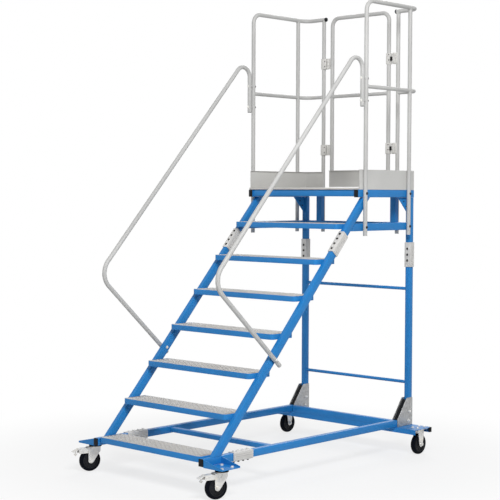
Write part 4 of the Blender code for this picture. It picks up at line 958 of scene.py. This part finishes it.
# %% Deck
DECK_PLANKS = 4
DECK_JOINT = 0.002
DECK_ROWS = 6
DECK_STRIP = 0.014
DECK_STRIP_EDGE = 0.0012
DECK_PLANK_EDGE = 0.0006

low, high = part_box("platform_deck")
planks, teeth = bmesh.new(), bmesh.new()
rounded_block(teeth, low, (high.x, low.y + DECK_STRIP, high.z), DECK_STRIP_EDGE)
pitch = (high.y - low.y - DECK_STRIP) / DECK_PLANKS
for plank in range(DECK_PLANKS):
    start = Vector((low.x, low.y + DECK_STRIP + plank * pitch + DECK_JOINT / 2, low.z))
    end = start + Vector((high.x - low.x, pitch - DECK_JOINT, high.z - low.z))
    rounded_block(planks, start, end - Vector((0, 0, TOOTH_TALL)), DECK_PLANK_EDGE, 1)
    grip_teeth(teeth, start, end, DECK_ROWS)
# The deck planks take the darker aluminium: dirt with painted shade between the teeth.
deck = add_piece("deck_planks", planks, aluminium_dirt_and_shade)
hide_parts("platform_deck")
report(deck, add_piece("deck_teeth", teeth, aluminium_trodden))

# %% [markdown]
# ## Wheels
# A wheel is turned: half a section is drawn with a few points, mirrored to the other side and spun about
# the axle. A Screw modifier could turn it too, but the spin leaves a plain mesh that is merged where it
# meets itself. The tyre and the moulded hub are two pieces with two finishes, and the ribs of the hub are
# blocks that stand round the axle.

# %% Wheel sections
WHEEL_RADIUS = 0.0625
TYRE_HALF = 0.015
HUB_HALF = 0.0190
RIM_RADIUS = 0.046
BORE_RADIUS = 0.0065
TYRE_SIDE = ((RIM_RADIUS, TYRE_HALF - 0.0012), (0.0545, TYRE_HALF), (0.0580, TYRE_HALF - 0.0012),
             (0.0605, TYRE_HALF - 0.0042), (0.0620, TYRE_HALF - 0.0085), (WHEEL_RADIUS, 0.0))
HUB_SIDE = ((BORE_RADIUS, HUB_HALF), (0.0150, HUB_HALF), (0.0168, TYRE_HALF - 0.004),
            (0.0400, TYRE_HALF - 0.006), (0.0425, TYRE_HALF - 0.0008), (RIM_RADIUS, TYRE_HALF - 0.0008))


def both_sides(side):
    """A section from one side of a wheel to the other. A point on the middle is kept once."""
    return [*side, *((radius, -height) for radius, height in reversed(side) if height)]


def turned(section, place, steps=48):
    """A mesh turned from a closed section of (radius, height) points about Z, then put in its place."""
    bm = bmesh.new()
    verts = [bm.verts.new((radius, 0, height)) for radius, height in section]
    edges = [bm.edges.new(pair) for pair in zip(verts, verts[1:] + verts[:1])]
    bmesh.ops.spin(bm, geom=edges, cent=(0, 0, 0), axis=(0, 0, 1), angle=2 * pi, steps=steps, use_merge=True)
    bmesh.ops.remove_doubles(bm, verts=bm.verts, dist=1e-6)
    bmesh.ops.transform(bm, matrix=place, verts=bm.verts)
    return bm


print("points of a tyre's section", len(both_sides(TYRE_SIDE)))

# %% [markdown]
# The direction of each axle comes from its joint, and its middle from the box of the CAD wheel. So the mesh
# turns about the same line as the body that carries it, however the wheel is set.

# %% Wheels
RIB_COUNT = 10
RIB_MIDDLE = 0.0285
RIB_SIZE = (0.0250, 0.0030, 2 * TYRE_HALF - 0.007)


def add_wheel(name, body, node):
    low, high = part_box(node)
    joint = next(joint for joint in JOINTS.values() if joint["child"] == body)
    place = aim((low + high) / 2, joint["axis"])
    tyre = add_piece(f"tyre_{name}", turned(both_sides(TYRE_SIDE), place, 64), rubber, body)
    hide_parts(node)
    bm = turned(both_sides(HUB_SIDE), place)
    rib_place = Matrix.Translation((RIB_MIDDLE, 0, 0)) @ Matrix.Diagonal((*RIB_SIZE, 1.0))
    for rib in range(RIB_COUNT):
        spoke = Matrix.Rotation(rib * 2 * pi / RIB_COUNT, 4, "Z")
        bmesh.ops.create_cube(bm, size=1.0, matrix=place @ spoke @ rib_place)
    report(tyre, add_piece(f"hub_{name}", bm, hub_plastic, body))


for name in SIDES:
    add_wheel(f"front_{name}", f"front_wheel_body_{name}", f"front_wheel_{name}")
    add_wheel(f"rear_{name}", f"rear_wheel_body_{name}", f"rear_wheel_{name}")

# %% [markdown]
# ## Soft edges on sheet and tube
# Forks, pedals and brackets are pressed from sheet, so no edge on them is truly sharp. They could be
# modelled again, but their shape in the frame is right. So each gets a copy of its CAD mesh: doubles are
# merged, flat triangles are joined, and a Bevel modifier rounds what is left. The small light edge that
# this gives is what makes sheet metal look like metal. Square tubes are drawn with a corner radius of about
# three millimetres, so their long edges get a real bevel. Its faces are marked for a painted highlight, a
# lighter colour that the blue coat gives them.

# %% Copies of the CAD meshes
ROUNDED_NODES = {
    "front_fork": 0.0009, "rear_fork": 0.0009, "brake_pedal": 0.0006, "caster_plate": 0.0008,
    "foot_bracket": 0.0008, "base_stub": 0.0012, "toe_board": 0.0007, "gate_toe_board": 0.0007,
    "gate_latch": 0.0007, "rear_beam": 0.0012, "platform_rear_frame": 0.0012, "upper_post": 0.0012,
    "base_sleeve": 0.0005, "post_sleeve": 0.0005, "stringer_sleeve": 0.0005,
}
SOFT_ANGLE = 40.0
TUBE_CORNER = 0.0032
TUBE_SEGMENTS = 4
LONG_EDGE = 0.1
SHARP_ANGLE = radians(57.0)
EDGE_HIGHLIGHT_SHARE = 0.55

bodies = {node: body for body, nodes in frame["record"]["behaviour"]["bodies"].items() for node in nodes}


def clean_mesh(node_name):
    """The mesh of a node as a bmesh, with its loose triangles joined."""
    bm = bmesh.new()
    bm.from_mesh(frame["nodes"][node_name].data)
    bmesh.ops.remove_doubles(bm, verts=bm.verts, dist=NEAR)
    bmesh.ops.dissolve_limit(bm, angle_limit=radians(1.0), verts=bm.verts, edges=bm.edges)
    return bm


def pressed_copy(node_name, width):
    copy = add_piece(f"{node_name}_pressed", clean_mesh(node_name), node_finish(node_name),
                     bodies[node_name], SOFT_ANGLE)
    soft_edges(copy, width, SOFT_ANGLE)
    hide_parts(node_name)


def drawn_tube(node_name):
    """A square tube with the rounded corners of drawn steel. Only the long outer edges are rounded."""
    bm = clean_mesh(node_name)
    bmesh.ops.recalc_face_normals(bm, faces=bm.faces)
    outer = [edge for edge in bm.edges if edge.is_convex and edge.calc_face_angle(0) > SHARP_ANGLE]
    long_edges = [edge for edge in outer if edge.calc_length() > LONG_EDGE]
    corners = round_edges(bm, long_edges, TUBE_CORNER, TUBE_SEGMENTS)["faces"]
    # Painted highlight: the rounded corner faces are marked, and the blue coat paints them lighter.
    thin_coat = bm.faces.layers.float.new("thin_coat")
    for face in corners:
        face[thin_coat] = EDGE_HIGHLIGHT_SHARE
    tube = add_piece(f"{node_name}_tube", bm, blue_coat)
    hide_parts(node_name)


print("pressed kinds", len(ROUNDED_NODES))

# %% [markdown]
# One pass over the nodes makes every copy. A pressed kind is looked for first, because a stringer sleeve
# also begins like a stringer.

# %% Rounded copies
TUBE_NODES = ("base_rail", "stringer", "rear_post", "platform_rail", "lower_rail", "platform_front_beam",
              "front_cross_member")

for node_name in frame["nodes"]:
    width = next((width for start, width in ROUNDED_NODES.items() if node_name.startswith(start)), None)
    if width:
        pressed_copy(node_name, width)
    elif node_name.startswith(TUBE_NODES):
        drawn_tube(node_name)

# %% [markdown]
# ## Bolts
# Everything that comes apart for transport is bolted: the sleeves, the foot brackets, the guard posts, the
# handrails and the casters. A bolt could be an instance of one object, but a joined mesh moves as one
# piece. So a small hexagon head with its washer is built again at each place, aimed out of the face it sits
# on.

# %% Sleeve bolts
FRAME_HALF = 0.4355
BASE_RAIL_X = FRAME_HALF - 0.0175
POST_X = BASE_RAIL_X
BASE_SLEEVE_Y = 0.4725 - FOOTPRINT_MIDDLE
SLEEVE_PITCH = 0.036
FOUR_ROWS = (-1.5, -0.5, 0.5, 1.5)
WASHER_TALL = 0.0016
HEAD_EDGE = 0.0011
SLEEVE_BOLT = (0.0085, 0.0040)
LOCK_NUT = (0.0105, 0.0080)


def hex_bolt(bm, point, outward, flats=0.013, tall=0.0055):
    """A hexagon head with a rounded top, on a washer. Its width is measured across the flats."""
    place = aim(point, outward)
    disc = place @ Matrix.Translation((0, 0, WASHER_TALL / 2))
    bmesh.ops.create_cone(bm, cap_ends=True, segments=20, radius1=flats * 0.82, radius2=flats * 0.80,
                          depth=WASHER_TALL, matrix=disc)
    seat = place @ Matrix.Translation((0, 0, WASHER_TALL + tall / 2))
    corner = flats / 2 / cos(pi / 6)
    head = bmesh.ops.create_cone(bm, cap_ends=True, segments=6, radius1=corner, radius2=corner, depth=tall,
                                 matrix=seat)
    way = Vector(outward).normalized()
    top = [edge for edge in edges_of(head["verts"])
           if all((vert.co - Vector(point)).dot(way) > tall for vert in edge.verts)]
    round_edges(bm, top, HEAD_EDGE, 2)


dark_bolts = bmesh.new()
for name, side in SIDES.items():
    low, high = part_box(f"base_sleeve_{name}")
    for row in FOUR_ROWS:
        spot = (side * BASE_RAIL_X, BASE_SLEEVE_Y + row * SLEEVE_PITCH, low.z)
        hex_bolt(dark_bolts, spot, (0, 0, -1), *LOCK_NUT)
    low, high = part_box(f"post_sleeve_{name}")
    for row in (-1, 0, 1):
        z = (low.z + high.z) / 2 + row * SLEEVE_PITCH
        hex_bolt(dark_bolts, (side * POST_X, low.y, z), (0, -1, 0), *SLEEVE_BOLT)
        hex_bolt(dark_bolts, (side * POST_X, high.y, z), (0, 1, 0), *SLEEVE_BOLT)
print("sleeve bolts", len(dark_bolts.faces), "faces")

# %% [markdown]
# The stringer sleeves slope with the stair, so their bolts are placed along that slope and aimed square to
# it. They could be built flat and then turned, but two directions, along and up, say the same in fewer
# lines. The guard posts are bolted to the platform at two heights.

# %% Stringer and guard bolts
STRINGER_DEEP = 0.046
SLEEVE_GAP = 0.0003
SLEEVE_WALL = 0.003
SLEEVE_RIB = 0.0008
SLEEVE_HALF_DEEP = STRINGER_DEEP / 2 + SLEEVE_GAP + SLEEVE_WALL + SLEEVE_RIB
GUARD_BOLT_HEIGHTS = (1.5775, 1.3805)
GUARD_BOLT = (0.010, 0.0040)
SPACER_NUT = (0.010, 0.0055)
slope_way = Vector((0, cos(STAIR_SLOPE), sin(STAIR_SLOPE)))
slope_up = Vector((0, -sin(STAIR_SLOPE), cos(STAIR_SLOPE)))

for name, side in SIDES.items():
    low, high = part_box(f"stringer_sleeve_{name}")
    for row in FOUR_ROWS:
        spot = (low + high) / 2 + slope_way * row * SLEEVE_PITCH
        for way in (slope_up, -slope_up):
            hex_bolt(dark_bolts, spot + way * SLEEVE_HALF_DEEP, way, *SLEEVE_BOLT)
    for z in GUARD_BOLT_HEIGHTS:
        for y in (GUARD_FRONT_Y, GUARD_POST_Y):
            hex_bolt(dark_bolts, (side * (GUARD_X + GUARD_POST_RADIUS), y, z), (side, 0, 0), *GUARD_BOLT)
        hex_bolt(dark_bolts, (side * RETURN_X, GUARD_REAR_Y + GUARD_POST_RADIUS, z), (0, 1, 0), *GUARD_BOLT)
    for z in spacer_heights:
        hex_bolt(dark_bolts, (side * GUARD_X, GUARD_FRONT_Y + RAIL_RADIUS, z), (0, 1, 0), *SPACER_NUT)
report(add_piece("blackened_bolts", dark_bolts, blackened))

# %% [markdown]
# The sleeves are extruded, with four flat ribs along each side. A bump could hint at them, but they are
# deep enough to break the outline and to catch the light as bright lines, so they are thin blocks along the
# sleeve.

# %% Sleeve flutes
FLUTE_TALL = 0.0024
FLUTE_SHARE = 0.74
FLUTE_LONG = 0.147
SLEEVE_KINDS = (("base_sleeve", (0, 1, 0), 0.0102), ("post_sleeve", (0, 0, 1), 0.0088),
                ("stringer_sleeve", slope_way, 0.0112))


def flutes(bm, centre, way, half_wide, pitch):
    """Four flat ribs on both sides of a sleeve."""
    place = aim(centre, way)
    size = Matrix.Diagonal((2 * FLUTE_TALL, FLUTE_SHARE * pitch, FLUTE_LONG, 1.0))
    for row in FOUR_ROWS:
        for side in SIDES.values():
            spot = Matrix.Translation((side * half_wide, row * pitch, 0))
            bmesh.ops.create_cube(bm, size=1.0, matrix=place @ spot @ size)


for kind, way, pitch in SLEEVE_KINDS:
    bm = bmesh.new()
    for name in SIDES:
        low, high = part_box(f"{kind}_{name}")
        flutes(bm, (low + high) / 2, way, (high.x - low.x) / 2, pitch)
    report(add_piece(f"{kind}_flutes", bm, node_finish(kind)))

# %% [markdown]
# The bolts of the handrails, those on top of the base sleeves and those of the foot brackets are plated.
# All plated bolts of the frame go into one mesh, so the casters add theirs to it in the next cell.

# %% Handrail and bracket bolts
STRINGER_WIDE = 0.030
HANDRAIL_BOLT = (0.011, 0.0045)
FOOT_BOLTS = ((1.950 - FOOTPRINT_MIDDLE, 0.245), (1.940 - FOOTPRINT_MIDDLE, 0.190))

bolts = bmesh.new()
for name, side in SIDES.items():
    for x, way in ((GUARD_X + RAIL_RADIUS, side), (FRAME_HALF - STRINGER_WIDE, -side)):
        hex_bolt(bolts, Vector((side * x, 0, 0)) + rail_bolt, (way, 0, 0), *HANDRAIL_BOLT)
    for z in spacer_heights:
        hex_bolt(bolts, (side * GUARD_X, HANDRAIL_Y - RAIL_RADIUS, z), (0, -1, 0), *GUARD_BOLT)
    low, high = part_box(f"base_sleeve_{name}")
    for row in FOUR_ROWS:
        hex_bolt(bolts, (side * BASE_RAIL_X, BASE_SLEEVE_Y + row * SLEEVE_PITCH, high.z), (0, 0, 1))
    low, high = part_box(f"foot_bracket_{name}")
    for y, z in FOOT_BOLTS:
        hex_bolt(bolts, (low.x, y, z), (-1, 0, 0))
        hex_bolt(bolts, (high.x, y, z), (1, 0, 0))
print("plated bolts", len(bolts.faces), "faces")

# %% [markdown]
# Each caster is held by four bolts round its pivot or above its axle, and each axle ends in a nut. The
# front axles turn with their forks, so their nuts are pieces that ride on the swivels.

# %% Caster bolts
PLATE_BOLT_REACH = 0.038
PLATE_BOLT_LIFT = 0.0043
FORK_BOLT_REACH = (0.019, 0.033)
FORK_BOLT_LIFT = 0.0033
FORK_BOLT = (0.011, 0.0045)
AXLE_HALF = 0.0285
AXLE_NUT = (0.013, 0.0045)


def axle_nuts(bm, joint):
    """A nut on each end of an axle."""
    for way in (-1, 1):
        out = Vector(joint["axis"]) * way
        hex_bolt(bm, Vector(joint["pos_m"]) + out * AXLE_HALF, out, *AXLE_NUT)


for name in SIDES:
    pivot = Vector(JOINTS[f"caster_swivel_{name}"]["pos_m"])
    rear_spin = JOINTS[f"rear_wheel_spin_{name}"]
    axle = Vector(rear_spin["pos_m"])
    plate_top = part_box(f"caster_plate_{name}")[1].z + PLATE_BOLT_LIFT
    fork_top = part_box(f"rear_fork_{name}")[1].z + FORK_BOLT_LIFT
    for dx in (-1, 1):
        for dy in (-1, 1):
            plate_spot = (pivot.x + dx * PLATE_BOLT_REACH, pivot.y + dy * PLATE_BOLT_REACH, plate_top)
            hex_bolt(bolts, plate_spot, (0, 0, 1))
            fork_spot = (axle.x + dx * FORK_BOLT_REACH[0], axle.y + dy * FORK_BOLT_REACH[1], fork_top)
            hex_bolt(bolts, fork_spot, (0, 0, 1), *FORK_BOLT)
    axle_nuts(bolts, rear_spin)
    bm = bmesh.new()
    axle_nuts(bm, JOINTS[f"front_wheel_spin_{name}"])
    report(add_piece(f"axle_nuts_{name}", bm, plated, f"swivel_{name}"))
report(add_piece("plated_bolts", bolts, plated))

# %% [markdown]
# ## Painted shade under the caster plates
# Between plate and fork each swivel caster has a shaded gap, painted as a black rubber ring. It is a ring
# with two lips, so it is turned from its section as the wheels are.

# %% Caster gap shade rings
GAP_SHADE_RING_SECTION = ((0.0330, 0.1415), (0.0362, 0.1415), (0.0368, 0.1440), (0.0350, 0.1462), (0.0372, 0.1486),
                (0.0366, 0.1515), (0.0330, 0.1515))

for name in SIDES:
    pivot = Vector(JOINTS[f"caster_swivel_{name}"]["pos_m"])
    # Painted shade: a black ring in the gap between the plate and the fork.
    bm = turned(GAP_SHADE_RING_SECTION, Matrix.Translation((pivot.x, pivot.y, 0)), 40)
    report(add_piece(f"caster_gap_shade_ring_{name}", bm, rubber, f"swivel_{name}"))

# %% [markdown]
# ## Pedal details
# The brake pedals have three ridges across the tip, where a shoe presses, and an adjusting screw with its
# nut below. Pressed ridges could be cut into the pedal, but round bars half sunk in it look the same. They
# ride on the pedals, so they tilt with them.

# %% Pedal details
RIDGE_REACHES = (0.111, 0.121, 0.131)
RIDGE_HALF = 0.0145
RIDGE_RADIUS = 0.0017
PEDAL_TOP = 0.1338
PEDAL_BEND = 0.106
PEDAL_FALL = 0.016 / 0.034
ADJUSTER_REACH = 0.122
ADJUSTER_FOOT = 0.0935
ADJUSTER_TOP = 0.124
ADJUSTER_RADIUS = 0.0032
ADJUSTER_NUT_Z = 0.1040

for name in SIDES:
    pivot = Vector(JOINTS[f"caster_swivel_{name}"]["pos_m"])
    spin = JOINTS[f"front_wheel_spin_{name}"]
    across = Vector(spin["axis"]) * RIDGE_HALF
    trail = Vector(spin["pos_m"]) - pivot
    trail = Vector((trail.x, trail.y, 0)).normalized()
    bm = bmesh.new()
    for reach in RIDGE_REACHES:
        spot = Vector((pivot.x, pivot.y, PEDAL_TOP - (reach - PEDAL_BEND) * PEDAL_FALL)) + trail * reach
        pin(bm, spot - across, spot + across, RIDGE_RADIUS, 12)
    spot = Vector((pivot.x, pivot.y, 0)) + trail * ADJUSTER_REACH
    pin(bm, (spot.x, spot.y, ADJUSTER_FOOT), (spot.x, spot.y, ADJUSTER_TOP), ADJUSTER_RADIUS, 16)
    hex_bolt(bm, (spot.x, spot.y, ADJUSTER_NUT_Z), (0, 0, -1))
    report(add_piece(f"pedal_details_{name}", bm, plated, f"brake_pedal_body_{name}"))

# %% [markdown]
# ## Cross rods and welds
# Two round rods tie the rear posts together, and a flat tube ties the base rails. All are welded in. A bead
# could be painted on as a bump, but a raised one catches the light: it is a ring round a rod, or a thin bar
# along the joint of a square tube, painted over with the rest.

# %% Cross rods and welds
BEAD = 0.003

rods = bmesh.new()
for node_name in ("upper_cross_rod", "lower_cross_rod"):
    low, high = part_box(node_name)
    y, z, radius = (low.y + high.y) / 2, (low.z + high.z) / 2, (high.z - low.z) / 2
    sweep_tube(rods, [(low.x, y, z), (high.x, y, z)], (), radius)
    for x in (low.x + WELD_GAP, high.x - WELD_GAP):
        weld_ring(rods, (x, y, z), (1, 0, 0), radius, BEAD)
low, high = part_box("front_cross_member")
for x in (low.x, high.x):
    for z in (low.z, high.z):
        pin(rods, (x, low.y, z), (x, high.y, z), BEAD, 12)
    for y in (low.y, high.y):
        pin(rods, (x, y, low.z), (x, y, high.z), BEAD, 12)
welded = add_piece("cross_rods_and_welds", rods, blue_coat)
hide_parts("upper_cross_rod", "lower_cross_rod")
report(welded)

# %% [markdown]
# ## Painted shade in the foot brackets
# The foot of each rear post sits between two galvanised cheeks. The shaded gap in front of the post is
# painted as a black plastic block, set back from the front. Its slanted front could be drawn as an outline,
# but a block cut by a plane is shorter: the plane runs parallel to the slanted edges of the cheeks.

# %% Painted shade in the foot brackets
SHADE_BLOCK_RECESS = 0.014
SHADE_BLOCK_HALF = 0.0170
SHADE_BLOCK_FOOT = 0.0040
SHADE_BLOCK_GAP = 0.0006
CHEEK_FRONT_TALL = 0.045
CHEEK_SLANT = Vector((0, -0.123, 0.092)).normalized()

foot_shade_blocks = bmesh.new()
for name in SIDES:
    low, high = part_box(f"foot_bracket_{name}")
    middle = (low.x + high.x) / 2
    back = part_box(f"rear_post_{name}")[0].y - SHADE_BLOCK_GAP
    # Painted shade: a black block fills the shaded slit between the cheeks.
    verts = plain_block(foot_shade_blocks, (middle - SHADE_BLOCK_HALF, low.y + SHADE_BLOCK_RECESS, low.z + SHADE_BLOCK_FOOT),
                        (middle + SHADE_BLOCK_HALF, back, high.z - SHADE_BLOCK_RECESS))
    cut_point = Vector((0, low.y, low.z + CHEEK_FRONT_TALL)) - CHEEK_SLANT * SHADE_BLOCK_RECESS
    cut = bmesh.ops.bisect_plane(foot_shade_blocks, geom=geometry_of(verts), plane_co=cut_point, plane_no=CHEEK_SLANT,
                                 clear_outer=True)
    bmesh.ops.contextual_create(foot_shade_blocks, geom=new_edges(cut["geom_cut"]))
report(add_piece("foot_painted_shade", foot_shade_blocks, black_plastic))

# %% [markdown]
# ## End caps
# Open tube ends are closed with black plastic plugs: the front ends of the base and of the platform rails,
# the ends of the rear beam, and the cut ends of the guards and handrails. Only the part that shows is made,
# a thin block or disc with rounded edges, a little proud of the tube. Small plugs also close the holes in
# the gussets of the rear posts.

# %% End caps
CAP_PROUD = 0.004
CAP_DEEP = 0.012
CAP_EDGE = 0.003
CAP_SIDES = 24
STUB_FRONT_Y = -0.88065
STUB_CAP_HALF = 0.0170
STUB_CAP_Z = (0.1629, 0.2034)
RAIL_FRONT_Y = 0.37915
PLATFORM_RAIL_X = FRAME_HALF - 0.015
RAIL_CAP_HALF = 0.0146
RAIL_CAP_Z = (1.5554, 1.5996)
BEAM_CAP_DEEP = 0.010
BEAM_CAP_WIDE = 0.0180
BEAM_CAP_TALL = 0.0305
BEAM_CAP_BACK = 0.0005
BEAM_CAP_EDGE = 0.002
GUARD_CAP = (0.006, 0.005, RAIL_RADIUS + 0.0004)
HANDRAIL_CAP = (0.004, 0.003, RAIL_RADIUS - 0.0006)
GUSSET_HOLES = ((0.866, 1.500), (0.842, 1.530))
GUSSET_PLUG_HALF = 0.0035
GUSSET_PLUG_RADIUS = 0.0045


def tube_plug(bm, x, front, half, heights):
    """A plug in the front end of a square tube."""
    low, high = heights
    rounded_block(bm, (x - half, front - CAP_PROUD, low), (x + half, front + CAP_DEEP, high), CAP_EDGE, 3)


def disc_plug(bm, end, outward, sizes):
    """A plug in the end of a round tube: how far it goes in, how far it stands out and its radius."""
    sunk, proud, radius = sizes
    pin(bm, end - outward * sunk, end + outward * proud, radius, CAP_SIDES)


caps = bmesh.new()
beam_low, beam_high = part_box("rear_beam")
for side in SIDES.values():
    tube_plug(caps, side * BASE_RAIL_X, STUB_FRONT_Y, STUB_CAP_HALF, STUB_CAP_Z)
    tube_plug(caps, side * PLATFORM_RAIL_X, RAIL_FRONT_Y, RAIL_CAP_HALF, RAIL_CAP_Z)
    near, far = sorted((side * (beam_high.x - BEAM_CAP_DEEP), side * (beam_high.x + CAP_PROUD)))
    rounded_block(caps, (near, beam_high.y - BEAM_CAP_WIDE, beam_low.z),
                  (far, beam_high.y + BEAM_CAP_BACK, beam_low.z + BEAM_CAP_TALL), BEAM_CAP_EDGE)
    guard_end = Vector((side * RETURN_END_X, GUARD_REAR_Y, GUARD_TOP_Z))
    disc_plug(caps, guard_end, Vector((-side, 0, 0)), GUARD_CAP)
    disc_plug(caps, rail_tail + Vector((side * GUARD_X, 0, 0)), Vector((0, 0, -1)), HANDRAIL_CAP)
    for y, z in GUSSET_HOLES:
        x = side * POST_X
        pin(caps, (x - GUSSET_PLUG_HALF, y, z), (x + GUSSET_PLUG_HALF, y, z), GUSSET_PLUG_RADIUS)
report(add_piece("end_caps", caps, black_plastic))

# %% [markdown]
# ## Floor and light
# The floor is pale and catches a soft shadow near the wheels. A floor lit up to white would light the stand
# from below, so further away it turns to a white that only the camera, reflections and glass see. No
# horizon shows, and the object gets no extra light.

# %% Floor
FLOOR_HALF = 60.0
FLOOR_TONE = (0.82, 0.82, 0.82)
FADE_START = 0.9
FADE_END = 2.4
FADE_NEAR = 0.74


def seen_directly(tree):
    """One for rays from the camera, a mirror or glass, and none for the light that falls on the object."""
    path = add_node(tree, "ShaderNodeLightPath").outputs
    seen = path["Is Camera Ray"]
    for kind in ("Is Glossy Ray", "Is Transmission Ray"):
        seen = add_node(tree, "ShaderNodeMath", {0: seen, 1: path[kind]}, operation="MAXIMUM").outputs[0]
    return seen


def floor_finish():
    material, tree, shader, place = start_finish("studio_floor", FLOOR_TONE, specular=0.1)
    shader.inputs["Base Color"].default_value = (*FLOOR_TONE, 1.0)
    shader.inputs["Roughness"].default_value = 0.9
    reach = add_node(tree, "ShaderNodeVectorMath", {0: place}, operation="LENGTH").outputs["Value"]
    sockets = {"Value": reach, "From Min": FADE_START, "From Max": FADE_END, "To Min": FADE_NEAR}
    fade = add_node(tree, "ShaderNodeMapRange", sockets, interpolation_type="SMOOTHSTEP").outputs["Result"]
    share = add_node(tree, "ShaderNodeMath", {0: seen_directly(tree), 1: fade}, operation="MULTIPLY")
    white = add_node(tree, "ShaderNodeEmission", {"Color": (1, 1, 1, 1), "Strength": 1.0})
    sockets = {0: share.outputs[0], 1: shader.outputs["BSDF"], 2: white.outputs["Emission"]}
    mix = add_node(tree, "ShaderNodeMixShader", sockets)
    tree.links.new(mix.outputs["Shader"], tree.nodes["Material Output"].inputs["Surface"])
    return material


bm = bmesh.new()
bmesh.ops.create_grid(bm, x_segments=1, y_segments=1, size=FLOOR_HALF)
floor_mesh = bpy.data.meshes.new("studio_floor")
bm.to_mesh(floor_mesh)
bm.free()
floor_mesh.materials.append(floor_finish())
floor = bpy.data.objects.new("studio_floor", floor_mesh)
bpy.context.scene.collection.objects.link(floor)
print("floor", 2 * FLOOR_HALF, "m wide")

# %% [markdown]
# One wide lamp stands to the right, weaker ones fill from the left and from behind, and the pale world does
# the rest. An image of a studio could light it too, but plain lamps keep the shadows soft and the colours
# as they are written.

# %% World and lamps
AMBIENT = 0.27
LAMPS = (("key", (3.7, -2.7, 4.6), (0, 0, 1.1), 2.2, 262.0),
         ("fill", (-3.6, -4.6, 3.4), (0, 0, 1.2), 3.0, 30.0),
         ("back", (-2.6, 4.4, 4.2), (0, 0, 1.1), 3.0, 90.0))


def add_lamp(name, place, target, size, power):
    lamp = bpy.data.lights.new(name, "AREA")
    lamp.shape = "DISK"
    lamp.size = size
    lamp.energy = power
    stand = bpy.data.objects.new(name, lamp)
    way = Vector(target) - Vector(place)
    stand.matrix_world = Matrix.Translation(place) @ way.to_track_quat("-Z", "Y").to_matrix().to_4x4()
    bpy.context.scene.collection.objects.link(stand)


world = bpy.data.worlds.new("studio")
world.use_nodes = True
tree = world.node_tree
level = add_node(tree, "ShaderNodeMath", {0: seen_directly(tree), 1: AMBIENT}, operation="MAXIMUM")
backdrop = tree.nodes["Background"]
backdrop.inputs["Color"].default_value = (1.0, 1.0, 1.0, 1.0)
tree.links.new(level.outputs[0], backdrop.inputs["Strength"])
bpy.context.scene.world = world
for lamp in LAMPS:
    add_lamp(*lamp)
print("lamps", [lamp[0] for lamp in LAMPS])
